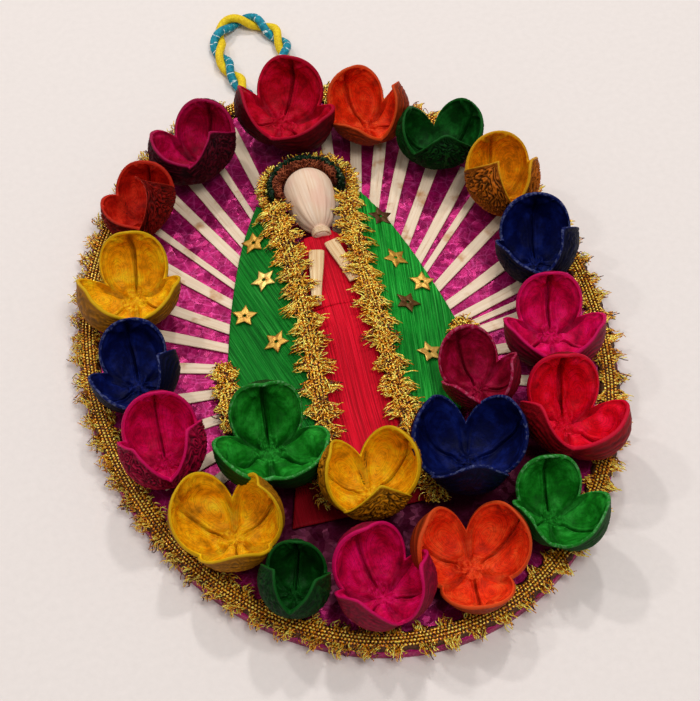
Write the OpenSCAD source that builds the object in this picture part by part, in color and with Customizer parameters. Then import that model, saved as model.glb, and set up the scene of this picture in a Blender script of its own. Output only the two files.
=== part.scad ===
// Folk wall ornament: an oval card covered in foil, straw rays, a corn husk figure in relief,
// gold braid, a wreath of dyed three-valved seed pods and a twisted hanging loop.
// Lies on its back: +Z out of the board, +Y towards the hanging loop, origin at the middle of the back.

/* [Board] */
// Width of the oval board
board_w = 181; // [172:1:196]
// Height of the oval board
board_h = 237; // [226:1:254]
// Thickness of each of the two cards
card_t = 2; // [1.8:0.1:3]
// Thickness of the foil cover
foil_t = 0.4; // [0.2:0.1:0.8]

/* [Rim braid] */
// Distance of the braid's middle line from the edge of the board
braid_inset = 3; // [2.5:0.1:5]
// Width of the corded middle of the braid
braid_w = 4.4; // [3:0.1:6]
// Height of the corded middle of the braid
braid_t = 2; // [1.2:0.1:3]
// Reach of the looped fringe outside the corded middle
fringe_out = 5.2; // [3:0.1:7]
// Reach of the looped fringe inside the corded middle
fringe_in = 3.6; // [2:0.1:5]
// Thickness of the fringe
fringe_t = 0.8; // [0.5:0.1:1.2]
// Number of fringe loops round the rim
rim_loops = 84; // [60:2:100]

/* [Straw rays] */
// Width of a wide straw at its outer end
straw_w = 4.6; // [3:0.1:4.8]
// Width of a narrow straw at its outer end
straw_narrow_w = 2.8; // [1.6:0.1:3]
// Thickness of a flattened straw
straw_t = 0.6; // [0.4:0.1:1]
// Gap between the straws' outer ends and the braid
straw_end_gap = 1; // [0.5:0.1:4]

/* [Figure] */
// Height of the relief along the middle of the body
body_rise = 9; // [6:0.5:12]
// Distance from the middle line at which the relief has run out
body_half = 34; // [30:1:40]
// Half width of the rolled core of the body
core_half = 11; // [8:0.5:13]
// Thickness of a husk sheet
husk_t = 0.8; // [0.5:0.1:1.2]
// Clearance between husk layers
layer_gap = 0.3; // [0.2:0.05:0.5]
// Thickness of a flattened forearm roll along its middle
arm_t = 2.6; // [1.5:0.1:3]
// Half width of a forearm at the hand
hand_half = 2.6; // [1.8:0.1:2.7]
// Half width of a forearm at the elbow
elbow_half = 1.8; // [1.2:0.1:1.9]
// Half width of the skirt's hem
hem_half = 36; // [30:1:40]

/* [Head] */
// Radius of the crown of the head
head_r = 9; // [8:0.1:9.6]
// Wall of the head's husk cover
head_wall = 0.8; // [0.5:0.1:1.5]
// Radius of the gathered neck
neck_r = 2.7; // [2.4:0.1:3.2]
// Thickness of the neck tie
tie_t = 1.6; // [1:0.1:2]
// Thickness of a lock of hair
hair_t = 3.2; // [2:0.1:4]
// Height of the hood's wall
hood_h = 10; // [7:0.5:12]

/* [Gold trim] */
// Width of the corded middle of the mantle trim
trim_w = 5; // [3:0.1:5.4]
// Reach of the fringe on each side of the mantle trim
trim_fringe = 3; // [1.5:0.1:3.2]
// Thickness of the mantle trim
trim_t = 1.2; // [0.8:0.1:1.8]
// Length of one fringe loop of the mantle trim
trim_pitch = 8; // [6:0.5:12]

/* [Star sequins] */
// Distance across a star from the middle to a point
star_r = 4.6; // [3:0.1:4.8]
// Radius of the inner corners of a star
star_inner_r = 2.3; // [1.5:0.1:2.6]
// Radius of a star's hole
star_hole_r = 0.6; // [0.4:0.1:0.9]
// Thickness of a star
star_t = 0.4; // [0.2:0.1:0.6]

/* [Seed pods] */
// Radius of a full-size closed pod
pod_r = 12.5; // [11:0.1:13]
// Length of a full-size closed pod
pod_l = 29; // [26:0.5:30]
// Thickness of a pod's wall
pod_wall = 1.5; // [1:0.1:2]
// Height of the ridge along the middle of a valve
septum_h = 1.2; // [0.6:0.1:2]
// Clearance between a pod and what it is glued to
pod_gap = 0.25; // [0.1:0.05:0.5]

/* [Hanging loop] */
// Diameter of one of the two cord strands
strand_d = 3.2; // [2.4:0.1:3.4]
// Clearance between the loop's ends and the edge of the board
loop_gap = 0.3; // [0.2:0.05:0.6]
// Length of each cord end glued between the cards
tail_l = 14; // [8:1:20]

/* [Hidden] */
fit = 0.05;
oval_n = 120;
rim_a = board_w / 2;
rim_b = board_h / 2;
z_card = 2 * card_t;
z_foil = z_card + foil_t;
z_straw = z_foil + straw_t;

// Hanging loop: hinge line just outside the rim, and the route of the cord's middle line
loop_d = 2 * strand_d;
exit_left = -9;
exit_right = 4;
hinge_y = rim_b + fit + foil_t + loop_gap + loop_d / 2;
hinge_z = loop_d / 2;
route = [
    [exit_left, 0], [-11, 8], [-13.5, 17], [-14.5, 26.5], [-12, 34], [-7.5, 38.5], [-1.5, 39],
    [4, 35.5], [8.5, 29], [10.3, 22.5], [10, 16], [8, 9.5], [5.5, 4.5], [exit_right, 0]
];
route_steps = 2;
tube_sides = 10;

// Straws: angle from +Y about the point where they meet, negative to the left, and narrow or not
ray_centre = [0, -15];
rays_left = [9, 14.5, 21, 27, 35, 42, 53, 63, 74, 86, 98, 111, 119];
rays_right = [8, 14, 19, 24.5, 31, 38, 43, 52, 62, 71, 76.5, 81, 92, 107];
narrow_rays = [35, 43, 76.5, 14.5];
ray_start_near = 38.5;
ray_start_more = 13;
straw_taper = 0.8;
straw_end_square = 0.2;
straw_end_skew = 1.2;

// Figure: heights along the body and the corners of its sheets
waist_y = 16.5;
seam_y = 7.5;
chest_y = 37.5;
hem_y = -74;
core_end_y = -30;
flat_y = -34;
full_y = 0;
bodice_half = 9;
seam_gap = 0.4;
skirt_lap = 8;
skirt_lap_run = 6;
arm_left = [[-2.8, 30], [-4.2, 16]];
arm_right = [[2.9, 32], [3.4, 20]];
arm_edge_t = 0.6;
head_at = [1, 58.9];
hood_at = [1, 62];
chin_s = -17.4;
egg_l = 18.2;
mantle_left_edge = [[-18, 60.5], [-36, 36], [-48, -34]];
mantle_left_front = [[-13, 57], [-9.8, 8], [-19, -60]];
mantle_right_edge = [[20, 58.5], [33.5, 40], [41.5, -20]];
mantle_right_front = [[14, 56], [8.5, 8], [13, -66]];
hem_left = [[-43, -2], [-45.3, -16], [-45.3, -30]];
hem_right = [[39, -3], [40.5, -9], [40.5, -17]];
trim_slim = 0.6;
trim_slim_part = 0.2;

// Stars: places on the mantle, and the turn of each
stars_left = [[-22.5, 45, 10], [-22.5, 28, 30], [-32, 16, 0], [-24, 1.5, 50]];
stars_right = [[24.5, 46.5, 20], [25, 27, 40], [31.5, 15.5, 5], [24, 7, 60], [26, -14.5, 25]];

// Pods: name, colour, place on the oval (angle, inset), turn of the first valve, size, tip reach and
// opening angle of the three valves, and how far up it sits from the straws to the foot of the figure
pods = [
    ["pod_01_wine", "#6b0226", 118.5, 21.5, 80, 0.97, [0.9, 0.85, 0.85], [28, 26, 8], 0],
    ["pod_02_crimson", "#b00518", 90, 20.5, 50, 0.95, [0.88, 0.9, 0.88], [29, 34, 38], 0],
    ["pod_03_orange", "#d8400a", 64.5, 20.5, 105, 0.91, [0.9, 0.56, 0.92], [31, 10, 16], 0],
    ["pod_04_forest", "#04380f", 43.5, 17.5, 25, 0.84, [0.85, 0.85, 0.85], [26, 20, 2], 0],
    ["pod_05_ochre", "#a8730a", 24.5, 15, 85, 0.97, [0.85, 0.88, 0.85], [24, 2, 5], 0],
    ["pod_06_navy", "#080b40", 6.5, 18, 80, 0.97, [0.88, 0.88, 0.88], [28, 16, 8], 0],
    ["pod_07_magenta", "#b2064d", 348.5, 21.5, 80, 0.86, [0.9, 0.8, 0.85], [27, 24, 24], 0],
    ["pod_08_garnet", "#7a0420", 329.5, 48, 100, 0.9, [0.82, 0.6, 0.85], [26, 6, 10], 0.52],
    ["pod_09_red", "#bf0610", 326.5, 18, 78, 0.94, [0.92, 0.88, 0.88], [34, 18, 38], 0],
    ["pod_10_navy", "#080b40", 302.5, 44, 15, 0.99, [0.84, 0.84, 0.85], [26, 21, 10], 0.8],
    ["pod_11_green", "#086614", 304.5, 11.5, 82, 0.87, [0.88, 0.75, 0.88], [18, 8, 34], 0.34],
    ["pod_12_orange", "#e64008", 283, 17.5, 18, 0.9, [0.85, 0.82, 0.75], [27, 23, 42], 0],
    ["pod_13_yellow", "#cc9408", 258.5, 51, 32, 0.94, [0.84, 0.84, 0.8], [24, 20, 8], 0.6],
    ["pod_14_magenta", "#b2064d", 260, 15.5, 100, 0.97, [0.9, 0.75, 0.78], [28, 10, 3], 0],
    ["pod_15_forest", "#04380f", 240.5, 10.5, 60, 0.89, [0.78, 0.78, 0.78], [6, 6, 6], 0.25],
    ["pod_16_yellow", "#cc9408", 224, 16.5, 22, 1, [0.85, 0.85, 0.65], [9, 36, 10], 0],
    ["pod_17_green", "#086614", 216.5, 45.5, 78, 0.9, [0.95, 0.8, 0.85], [33, 20, 32], 0.66],
    ["pod_18_magenta", "#b2064d", 201.5, 16, 90, 1.02, [0.88, 0.8, 0.88], [18, 6, 4], 0],
    ["pod_19_navy", "#080b40", 183, 18, 90, 0.88, [0.9, 0.75, 0.92], [30, 22, 16], 0],
    ["pod_20_yellow", "#cc9408", 162.5, 20, 80, 0.92, [0.92, 0.92, 0.7], [32, 44, 24], 0],
    ["pod_21_rust", "#8c2405", 141, 16.5, 100, 0.88, [0.85, 0.7, 0.9], [26, 24, 2], 0]
];
valve_cols = 8;
pod_rows = 4;
pod_notch = 0.38;
valve_cup = 0.35;
valve_round = 1.7;

// Small helpers
function mix(a, b, t) = a + (b - a) * t;
function clamp01(v) = max(0, min(1, v));
function smooth(v) = let(c = clamp01(v)) c * c * (3 - 2 * c);
function bezier(c, t) = mix(mix(c[0], c[1], t), mix(c[1], c[2], t), t);
function bezier_dir(c, t) = let(d = mix(c[1] - c[0], c[2] - c[1], t)) d / norm(d);
function left_of(d) = [-d.y, d.x];
function oval(a, b) = [for (i = [0:oval_n - 1]) [a * cos(360 * i / oval_n), b * sin(360 * i / oval_n)]];

module oval_slab(grow, z0, z1) {
    translate([0, 0, z0])
        linear_extrude(z1 - z0)
            polygon(oval(rim_a + grow, rim_b + grow));
}

// A solid between two heights over a plan that is a grid of two parameters
module relief(nu, nv, place, lo, hi) {
    layer = (nu + 1) * (nv + 1);
    plan = [for (j = [0:nv]) for (i = [0:nu]) place(i / nu, j / nv)];
    points = concat([for (p = plan) [p.x, p.y, lo(p.x, p.y)]], [for (p = plan) [p.x, p.y, hi(p.x, p.y)]]);
    at = function(i, j) j * (nu + 1) + i;
    sheet = [for (j = [0:nv - 1]) for (i = [0:nu - 1])
        each [[at(i, j), at(i + 1, j), at(i + 1, j + 1)], [at(i, j), at(i + 1, j + 1), at(i, j + 1)]]];
    border = concat(
        [for (i = [0:nu - 1]) at(i, 0)], [for (j = [0:nv - 1]) at(nu, j)],
        [for (i = [nu:-1:1]) at(i, nv)], [for (j = [nv:-1:1]) at(0, j)]);
    m = len(border);
    wall = [for (k = [0:m - 1]) let(a = border[k], b = border[(k + 1) % m])
        each [[a, a + layer, b + layer], [a, b + layer, b]]];
    polyhedron(points, concat(sheet, wall, [for (f = sheet) [f[0] + layer, f[2] + layer, f[1] + layer]]));
}

// Board and what lies flat on it
module tail_slots(z0, z1) {
    for (x = [exit_left, exit_right])
        translate([x - loop_d / 2 - fit, rim_b - tail_l - 2 * fit, z0])
            cube([loop_d + 2 * fit, tail_l + loop_d, z1 - z0]);
}

module rear_card() {
    color("#a98f6a")
        difference() {
            oval_slab(0, 0, card_t);
            tail_slots(-1, card_t + 1);
        }
}

module front_card() {
    color("#b59a74")
        difference() {
            oval_slab(0, card_t, z_card);
            tail_slots(card_t - 1, z_card + 1);
        }
}

module foil_cover() {
    color("#b8127a")
        difference() {
            oval_slab(fit + foil_t, 0, z_foil);
            oval_slab(fit, -1, z_card);
            tail_slots(-1, z_card);
        }
}

function braid_point(a, grow) =
    let(ra = rim_a - braid_inset, rb = rim_b - braid_inset, n = [cos(a) / ra, sin(a) / rb])
    [ra * cos(a), rb * sin(a)] + n / norm(n) * grow;
function fringe_wave(s) = sqrt(max(0, 1 - pow(2 * (s - floor(s)) - 1, 2)));
function clear_of_loop(p) =
    p.y > 0 && p.x > exit_left - loop_d && p.x < exit_right + loop_d ? 0 : 1;
fringe_steps = 5;
selvedge = 0.4;
fringe_in_least = 0.4;

module braid_ring(inner, outer) {
    difference() {
        polygon(outer);
        polygon(inner);
    }
}

module rim_braid() {
    count = rim_loops * fringe_steps;
    outer = [for (i = [0:count - 1]) let(a = 360 * i / count, p = braid_point(a, 0))
        braid_point(a, braid_w / 2 + selvedge + fringe_out * clear_of_loop(p) * fringe_wave(i / fringe_steps))];
    inner = [for (i = [0:count - 1]) let(a = 360 * i / count)
        braid_point(a, -braid_w / 2 - fringe_in * mix(fringe_in_least, 1, fringe_wave(i / fringe_steps)))];
    core_in = [for (i = [0:oval_n - 1]) braid_point(360 * i / oval_n, -braid_w / 2 + fit)];
    core_out = [for (i = [0:oval_n - 1]) braid_point(360 * i / oval_n, braid_w / 2 - fit)];
    color("#d39a2c")
        translate([0, 0, z_foil]) {
            linear_extrude(fringe_t)
                braid_ring(inner, outer);
            linear_extrude(braid_t)
                braid_ring(core_in, core_out);
        }
}

// Distance from the meeting point of the straws to the inner edge of the braid
function ray_reach(d) =
    let(shrink = braid_inset + braid_w / 2 + fringe_in + straw_end_gap, a = rim_a - shrink,
        b = rim_b - shrink, p = ray_centre, qa = pow(d.x / a, 2) + pow(d.y / b, 2),
        qb = 2 * (p.x * d.x / (a * a) + p.y * d.y / (b * b)), qc = pow(p.x / a, 2) + pow(p.y / b, 2) - 1)
    (-qb + sqrt(qb * qb - 4 * qa * qc)) / (2 * qa);

module straw(angle, side) {
    d = [side * sin(angle), cos(angle)];
    w = len(search(angle, narrow_rays)) > 0 ? straw_narrow_w : straw_w;
    start = ray_start_near + ray_start_more * pow(max(0, cos(angle)), 3);
    ends = ray_reach(d) - w / 2 * (straw_end_square + straw_end_skew * abs(sin(2 * angle)));
    inner = w / 2 * straw_taper;
    translate([ray_centre.x, ray_centre.y, z_foil])
        rotate(-side * angle)
            linear_extrude(straw_t)
                polygon([[-inner, start], [inner, start], [w / 2, ends], [-w / 2, ends]]);
}

module straw_rays_left() {
    color("#d9c49a")
        for (a = rays_left)
            straw(a, -1);
}

module straw_rays_right() {
    color("#d9c49a")
        for (a = rays_right)
            straw(a, 1);
}

// Relief of the figure: a rounded ridge that flattens below the waist
function ridge(x, y) =
    body_rise * (1 + cos(180 * min(1, abs(x) / body_half))) / 2 * smooth((y - flat_y) / (full_y - flat_y));
function core_top(x, y) = z_straw + layer_gap + ridge(x, y);
function skirt_half(y) =
    y > waist_y ? bodice_half : mix(bodice_half, hem_half, (waist_y - y) / (waist_y - hem_y));
function on_skirt(x, y) = clamp01((skirt_half(y) + skirt_lap - abs(x)) / skirt_lap_run);
function dress_low(x, y) = core_top(x, y) + layer_gap;
sheet_step = husk_t + 1.5 * layer_gap;
function mantle_low(x, y) = dress_low(x, y) + sheet_step * on_skirt(x, y);
function trim_low(x, y) = mantle_low(x, y) + sheet_step;

module body_core() {
    color("#cdb58a")
        relief(8, 10, function(u, v) [core_half * (2 * u - 1), mix(core_end_y, chest_y, v)],
            function(x, y) z_straw + layer_gap / 2, function(x, y) core_top(x, y));
}

module skirt() {
    color("#bf0a26")
        relief(14, 14,
            function(u, v) let(y = mix(hem_y, seam_y, v)) [skirt_half(y) * (2 * u - 1), y],
            function(x, y) dress_low(x, y), function(x, y) dress_low(x, y) + husk_t);
}

module bodice() {
    color("#bf0a26")
        relief(6, 4,
            function(u, v) let(y = mix(seam_y + seam_gap, chest_y, v)) [skirt_half(y) * (2 * u - 1), y],
            function(x, y) dress_low(x, y), function(x, y) dress_low(x, y) + husk_t);
}

module mantle_panel(edge, front) {
    relief(8, 16, function(u, v) mix(bezier(edge, v), bezier(front, v), u),
        function(x, y) mantle_low(x, y), function(x, y) mantle_low(x, y) + husk_t);
}

module mantle_left() {
    color("#06702a")
        mirror([1, 0, 0])
            mantle_panel([for (p = mantle_left_edge) [-p.x, p.y]], [for (p = mantle_left_front) [-p.x, p.y]]);
}

module mantle_right() {
    color("#06702a")
        mantle_panel(mantle_right_edge, mantle_right_front);
}

// A fringed strip along a curve, slimmer at its start
module trim_strip(curve, length, slim) {
    loops = round(length / trim_pitch);
    half = function(v) trim_w / 2 * mix(slim, 1, smooth(v / trim_slim_part))
        + trim_fringe * mix(slim / 2, 1, smooth(v / trim_slim_part)) * fringe_wave(v * loops);
    relief(2, loops * 4,
        function(u, v) bezier(curve, v) + left_of(bezier_dir(curve, v)) * half(v) * (1 - 2 * u),
        function(x, y) trim_low(x, y), function(x, y) trim_low(x, y) + trim_t);
}

module mantle_trim_left() {
    color("#d39a2c")
        trim_strip(mantle_left_front, norm(mantle_left_front[2] - mantle_left_front[0]), trim_slim);
}

module mantle_trim_right() {
    color("#d39a2c")
        trim_strip(mantle_right_front, norm(mantle_right_front[2] - mantle_right_front[0]), trim_slim);
}

module hem_trim(curve) {
    color("#d39a2c")
        trim_strip(curve, norm(curve[2] - curve[0]), 1);
}

module hem_trim_left() {
    hem_trim(hem_left);
}

module hem_trim_right() {
    hem_trim(hem_right);
}

// Head: a revolved egg that runs down into the gathered neck, with a wad inside
neck_end_s = chest_y + layer_gap - head_at.y;
head_z = z_straw + layer_gap + head_r;
function egg(s, r) =
    s > 0 ? sqrt(max(0, r * r - s * s))
        : max(neck_r + r - head_r, r * sqrt(max(0, 1 - pow(s / (egg_l + r - head_r), 2))));
function egg_profile(r, low) =
    concat([[0, low]], [for (i = [0:12]) let(s = mix(low, 0, i / 12)) [egg(s, r), s]],
        [for (i = [1:8]) [r * cos(90 * i / 8), r * sin(90 * i / 8)]]);

module on_head() {
    translate([head_at.x, head_at.y, head_z])
        rotate([-90, 0, 0])
            children();
}

module head_husk() {
    color("#e2c4a0")
        on_head()
            rotate_extrude($fn = 64)
                difference() {
                    polygon(egg_profile(head_r, neck_end_s));
                    polygon(egg_profile(head_r - head_wall, chin_s));
                }
}

module head_core() {
    color("#d8c29a")
        on_head()
            sphere(head_r - head_wall - layer_gap, $fn = 48);
}

module neck_tie() {
    color("#eadfc8")
        on_head()
            translate([0, 0, (chin_s + neck_end_s) / 2])
                rotate_extrude($fn = 48)
                    translate([neck_r + layer_gap / 2 + tie_t / 2, 0])
                        circle(d = tie_t, $fn = 24);
}

// Hair, hood and its trim: arches round the crown of the head
module arch(spread) {
    translate([hood_at.x, hood_at.y, 0])
        rotate(-spread)
            rotate_extrude(angle = 180 + 2 * spread, $fn = 96)
                children();
}

hair_spread = 6;
hair_lift = 0.45;
hood_spread = 4;
hair_r = head_r + layer_gap + hair_t / 2;
hood_r = hair_r + hair_t / 2 + layer_gap;

module hair() {
    color("#5a2713")
        arch(hair_spread)
            for (lift = [-hair_lift, hair_lift])
                translate([hair_r, head_z - hair_t / 2 + lift * hair_t])
                    circle(d = hair_t, $fn = 24);
}

module hood() {
    color("#04401c")
        arch(hood_spread)
            translate([hood_r, z_straw + layer_gap])
                square([husk_t, hood_h]);
}

module hood_trim() {
    inner = hood_r + husk_t + layer_gap;
    color("#d39a2c")
        translate([hood_at.x, hood_at.y, z_straw + layer_gap + hood_h - 2 * trim_t])
            linear_extrude(trim_t)
                polygon(concat(
                    [for (i = [0:60]) inner * [cos(3 * i), sin(3 * i)]],
                    [for (i = [60:-1:0]) (inner + trim_w / 3 + trim_fringe / 2 * fringe_wave(i / 8))
                        * [cos(3 * i), sin(3 * i)]]));
}

// Forearms: flattened rolls that lie on the bodice, wide at the hand
module forearm(hand, elbow) {
    d = (elbow - hand) / norm(elbow - hand);
    across = left_of(d);
    half = function(v) mix(hand_half, elbow_half, v);
    low = function(x, y) dress_low(x, y) + husk_t + 2 * layer_gap;
    crown = function(x, y)
        let(p = [x, y] - hand, s = p * across / half(p * d / norm(elbow - hand)))
        sqrt(max(0, 1 - s * s));
    color("#dcc39a")
        relief(6, 6, function(u, v) mix(hand, elbow, v) + across * half(v) * (1 - 2 * u),
            low, function(x, y) low(x, y) + mix(arm_edge_t, arm_t, crown(x, y)));
}

module forearm_left() {
    forearm(arm_left[0], arm_left[1]);
}

module forearm_right() {
    forearm(arm_right[0], arm_right[1]);
}

// Star sequins, tilted to the slope of the mantle
module star(place) {
    slope = (mantle_low(place.x + 1, place.y) - mantle_low(place.x - 1, place.y)) / 2;
    drop = (mantle_low(place.x, place.y + 1) - mantle_low(place.x, place.y - 1)) / 2;
    translate([place.x, place.y, mantle_low(place.x, place.y) + husk_t + 2 * layer_gap])
        rotate([atan(drop), -atan(slope), 0])
            rotate(place.z)
                linear_extrude(star_t)
                    difference() {
                        polygon([for (i = [0:9]) let(r = i % 2 == 0 ? star_r : star_inner_r)
                            r * [cos(36 * i), sin(36 * i)]]);
                        circle(star_hole_r, $fn = 24);
                    }
}

module star_sequins_left() {
    color("#d9a531")
        for (s = stars_left)
            star(s);
}

module star_sequins_right() {
    color("#d9a531")
        for (s = stars_right)
            star(s);
}

// Seed pods: a closed capsule split into three valves that open about its base.
// A meridian of the capsule, (r sin t, l/2 (1 - cos t)), is turned outwards by the opening angle;
// the rim runs from the notches between valves up to the rounded tips.
foot_top = trim_low(0, hem_y) + trim_t;
function pod_open(p, rel) =
    let(k = floor(rel / 120), f = rel / 120 - k, s = (1 - cos(180 * f)) / 2, x = 2 * min(f, 1 - f))
    mix(p[7][k % 3], p[7][(k + 1) % 3], s) * (1 - valve_cup * x * x);
function pod_rim(p, rel) =
    let(k = floor(rel / 120), f = rel / 120 - k, x = 2 * min(f, 1 - f), tip = p[6][(f < 0.5 ? k : k + 1) % 3])
    180 * mix(pod_notch, tip, 1 - pow(x, valve_round));
function pod_inset(rel, u) =
    let(f = rel / 120 - floor(rel / 120), x = 2 * min(f, 1 - f))
    pod_wall + (x == 0 && u < 1 ? septum_h : 0);
function pod_point(p, rel, u, inset) =
    let(r = pod_r * p[5] - inset, h = pod_l * p[5] / 2, t = u * pod_rim(p, rel), o = pod_open(p, rel),
        mr = r * sin(t), mz = h - (h - inset) * cos(t), out = mr * cos(o) + mz * sin(o), a = rel + p[4])
    [out * cos(a), out * sin(a), mz * cos(o) - mr * sin(o)];

module pod(p) {
    n = 3 * valve_cols;
    rings = concat(
        [for (k = [1:pod_rows]) [k / pod_rows, false]],
        [for (k = [pod_rows:-1:1]) [k / pod_rows, true]]);
    cup = [for (g = rings) for (i = [0:n - 1]) let(rel = 360 * i / n)
        pod_point(p, rel, g[0], g[1] ? pod_inset(rel, g[0]) : 0)];
    points = concat([[0, 0, 0]], cup, [[0, 0, pod_wall]]);
    low = min([for (q = points) q.z]);
    m = len(rings);
    at = function(k, i) 1 + k * n + i % n;
    sides = [for (k = [0:m - 2]) for (i = [0:n - 1])
        each [[at(k, i), at(k + 1, i), at(k + 1, i + 1)], [at(k, i), at(k + 1, i + 1), at(k, i + 1)]]];
    base = [for (i = [0:n - 1]) [0, at(0, i), at(0, i + 1)]];
    floor_in = [for (i = [0:n - 1]) [1 + m * n, at(m - 1, i + 1), at(m - 1, i)]];
    seat = mix(z_straw, foot_top, p[8]);
    place = [(rim_a - p[3]) * cos(p[2]), (rim_b - p[3]) * sin(p[2])];
    color(p[1])
        translate([place.x, place.y, seat + pod_gap - low])
            polyhedron(points, concat(base, sides, floor_in));
}

// Hanging loop: two glued ends between the cards and a tube along the route
module hanger_tails() {
    color("#e0b810")
        for (x = [exit_left, exit_right])
            translate([x - loop_d / 2, rim_b - tail_l, (z_card - strand_d) / 2])
                cube([loop_d, tail_l - foil_t, strand_d]);
}

function spline(a, b, c, d, t) =
    0.5 * (2 * b + (c - a) * t + (2 * a - 5 * b + 4 * c - d) * t * t + (3 * b - a - 3 * c + d) * t * t * t);
function route_at(i) = route[max(0, min(len(route) - 1, i))];
function route_point(s) =
    let(i = floor(s)) spline(route_at(i - 1), route_at(i), route_at(i + 1), route_at(i + 2), s - i);

module hanger_loop() {
    spans = len(route) - 1;
    middle = [for (k = [0:spans * route_steps]) route_point(k / route_steps)];
    last = len(middle) - 1;
    heading = function(k) let(d = middle[min(last, k + 1)] - middle[max(0, k - 1)]) d / norm(d);
    lead = [-1, -0.8, -0.45];
    stations = concat(
        [for (e = lead) [middle[0] + heading(0) * e * loop_d / 2, heading(0), sqrt(1 - e * e)]],
        [for (k = [0:last]) [middle[k], heading(k), 1]],
        [for (e = lead) [middle[last] - heading(last) * e * loop_d / 2, heading(last), sqrt(1 - e * e)]]);
    order = concat([for (k = [0:last + 3]) k], [last + 6, last + 5, last + 4]);
    tip = 0.02;
    rings = [for (k = order) let(s = stations[k], n = left_of(s[1]), r = max(tip, s[2]) * loop_d / 2)
        [for (i = [0:tube_sides - 1]) let(a = 360 * (i + 0.5) / tube_sides)
            [s[0].x + n.x * r * cos(a), s[0].y + n.y * r * cos(a), r * sin(a)]]];
    m = len(rings);
    at = function(k, i) k * tube_sides + i % tube_sides;
    faces = concat(
        [for (k = [0:m - 2]) for (i = [0:tube_sides - 1])
            each [[at(k, i), at(k + 1, i), at(k + 1, i + 1)], [at(k, i), at(k + 1, i + 1), at(k, i + 1)]]],
        [for (i = [1:tube_sides - 2]) each [[at(0, 0), at(0, i), at(0, i + 1)],
            [at(m - 1, 0), at(m - 1, i + 1), at(m - 1, i)]]]);
    color("#1590a8")
        translate([0, hinge_y, hinge_z])
            polyhedron([for (r = rings) each r], faces);
}

rear_card();
front_card();
foil_cover();
rim_braid();
straw_rays_left();
straw_rays_right();
body_core();
skirt();
bodice();
head_core();
head_husk();
neck_tie();
hair();
hood();
hood_trim();
forearm_left();
forearm_right();
mantle_left();
mantle_right();
mantle_trim_left();
mantle_trim_right();
hem_trim_left();
hem_trim_right();
star_sequins_left();
star_sequins_right();
hanger_tails();
hanger_loop();
for (p = pods)
    pod(p);
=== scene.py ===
# %% [markdown]
# # A folk wall ornament: husk figure, seed pods, straw and gold braid
#
# The object is an oval card covered in magenta foil. Flattened straws fan out behind a robed figure made
# of dyed corn husk, gold braid runs round the rim and along the robe, and a wreath of dyed seed pods
# frames it all. A twisted cord at the top hangs it on a nail. The CAD frame already holds every piece at
# its real size and place. This lesson gives each piece its surface: fibres, wrinkles, threads and dye.
# Sizes are in millimetres until a mesh is made.

# %% Load the fixed frame
import math

import bpy
import numpy as np
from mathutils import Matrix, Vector


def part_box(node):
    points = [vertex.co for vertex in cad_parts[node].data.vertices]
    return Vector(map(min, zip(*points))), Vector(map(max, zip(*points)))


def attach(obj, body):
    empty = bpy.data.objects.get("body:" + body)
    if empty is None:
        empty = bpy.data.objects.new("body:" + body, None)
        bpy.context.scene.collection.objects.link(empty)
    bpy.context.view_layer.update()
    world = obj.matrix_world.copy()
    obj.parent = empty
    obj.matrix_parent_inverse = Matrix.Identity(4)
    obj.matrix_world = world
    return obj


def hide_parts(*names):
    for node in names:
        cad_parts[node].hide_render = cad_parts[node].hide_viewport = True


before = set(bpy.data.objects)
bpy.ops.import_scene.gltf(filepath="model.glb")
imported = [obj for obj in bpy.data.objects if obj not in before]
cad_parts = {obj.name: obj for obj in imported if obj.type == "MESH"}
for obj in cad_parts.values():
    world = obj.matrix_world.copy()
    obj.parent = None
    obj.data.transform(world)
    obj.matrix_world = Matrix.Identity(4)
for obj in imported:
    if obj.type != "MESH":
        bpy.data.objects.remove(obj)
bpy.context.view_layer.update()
MM = 0.001


def span(node):
    """Lowest and highest corner of a CAD node, in millimetres."""
    low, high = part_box(node)
    return np.array(low) / MM, np.array(high) / MM


RIM_A, RIM_B, Z_CARD = span("front_card")[1]
Z_FOIL = span("foil_cover")[1][2]
Z_STRAW = span("straw_rays_left")[1][2]
print(f"board half axes {RIM_A:.1f} and {RIM_B:.1f} mm, foil at {Z_FOIL:.1f} mm, straws to {Z_STRAW:.1f} mm")

# %% [markdown]
# ## Camera
#
# A photographer stands in front of the table and looks down at the ornament. The camera could be
# placed by trial, but four plain numbers say it better: how far round, how high, how far away and how
# long the lens is. The camera comes first because every later choice of detail depends on how large a
# millimetre looks.

# %% Camera at the photograph's viewing angle
LOOK_AT = np.array([1.1, -2.0, 0.0])
CAMERA_AZIMUTH, CAMERA_ELEVATION, CAMERA_AWAY = -14.0, 55.0, 600.0
LENS_MM = 89.0


def direction(azimuth, elevation):
    """Unit vector from the object towards a viewer: azimuth 0 is in front, elevation is above the horizon."""
    a, e = math.radians(azimuth), math.radians(elevation)
    return np.array([math.sin(a) * math.cos(e), -math.cos(a) * math.cos(e), math.sin(e)])


def aim(thing, place, target):
    """Puts a camera or lamp at a place, with its own -Z axis towards the target."""
    thing.location = Vector(place * MM)
    thing.rotation_euler = Vector(place - target).to_track_quat("Z", "Y").to_euler()
    bpy.context.scene.collection.objects.link(thing)
    return thing


camera = bpy.data.objects.new("camera", bpy.data.cameras.new("camera"))
camera.data.lens = LENS_MM
aim(camera, LOOK_AT + CAMERA_AWAY * direction(CAMERA_AZIMUTH, CAMERA_ELEVATION), LOOK_AT)
bpy.context.scene.camera = camera
bpy.context.scene.view_settings.view_transform = "Standard"
print("camera at", [round(c, 3) for c in camera.location])

# %% [markdown]
# ## Tools for finishes
#
# Every material here is a small network of nodes. Building one by hand takes many lines, so a helper
# class holds the material and adds a node, with its settings and links, in one call. Patterns that
# follow a surface, such as the grain of a husk, are read from values stored on the mesh's points.

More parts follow.
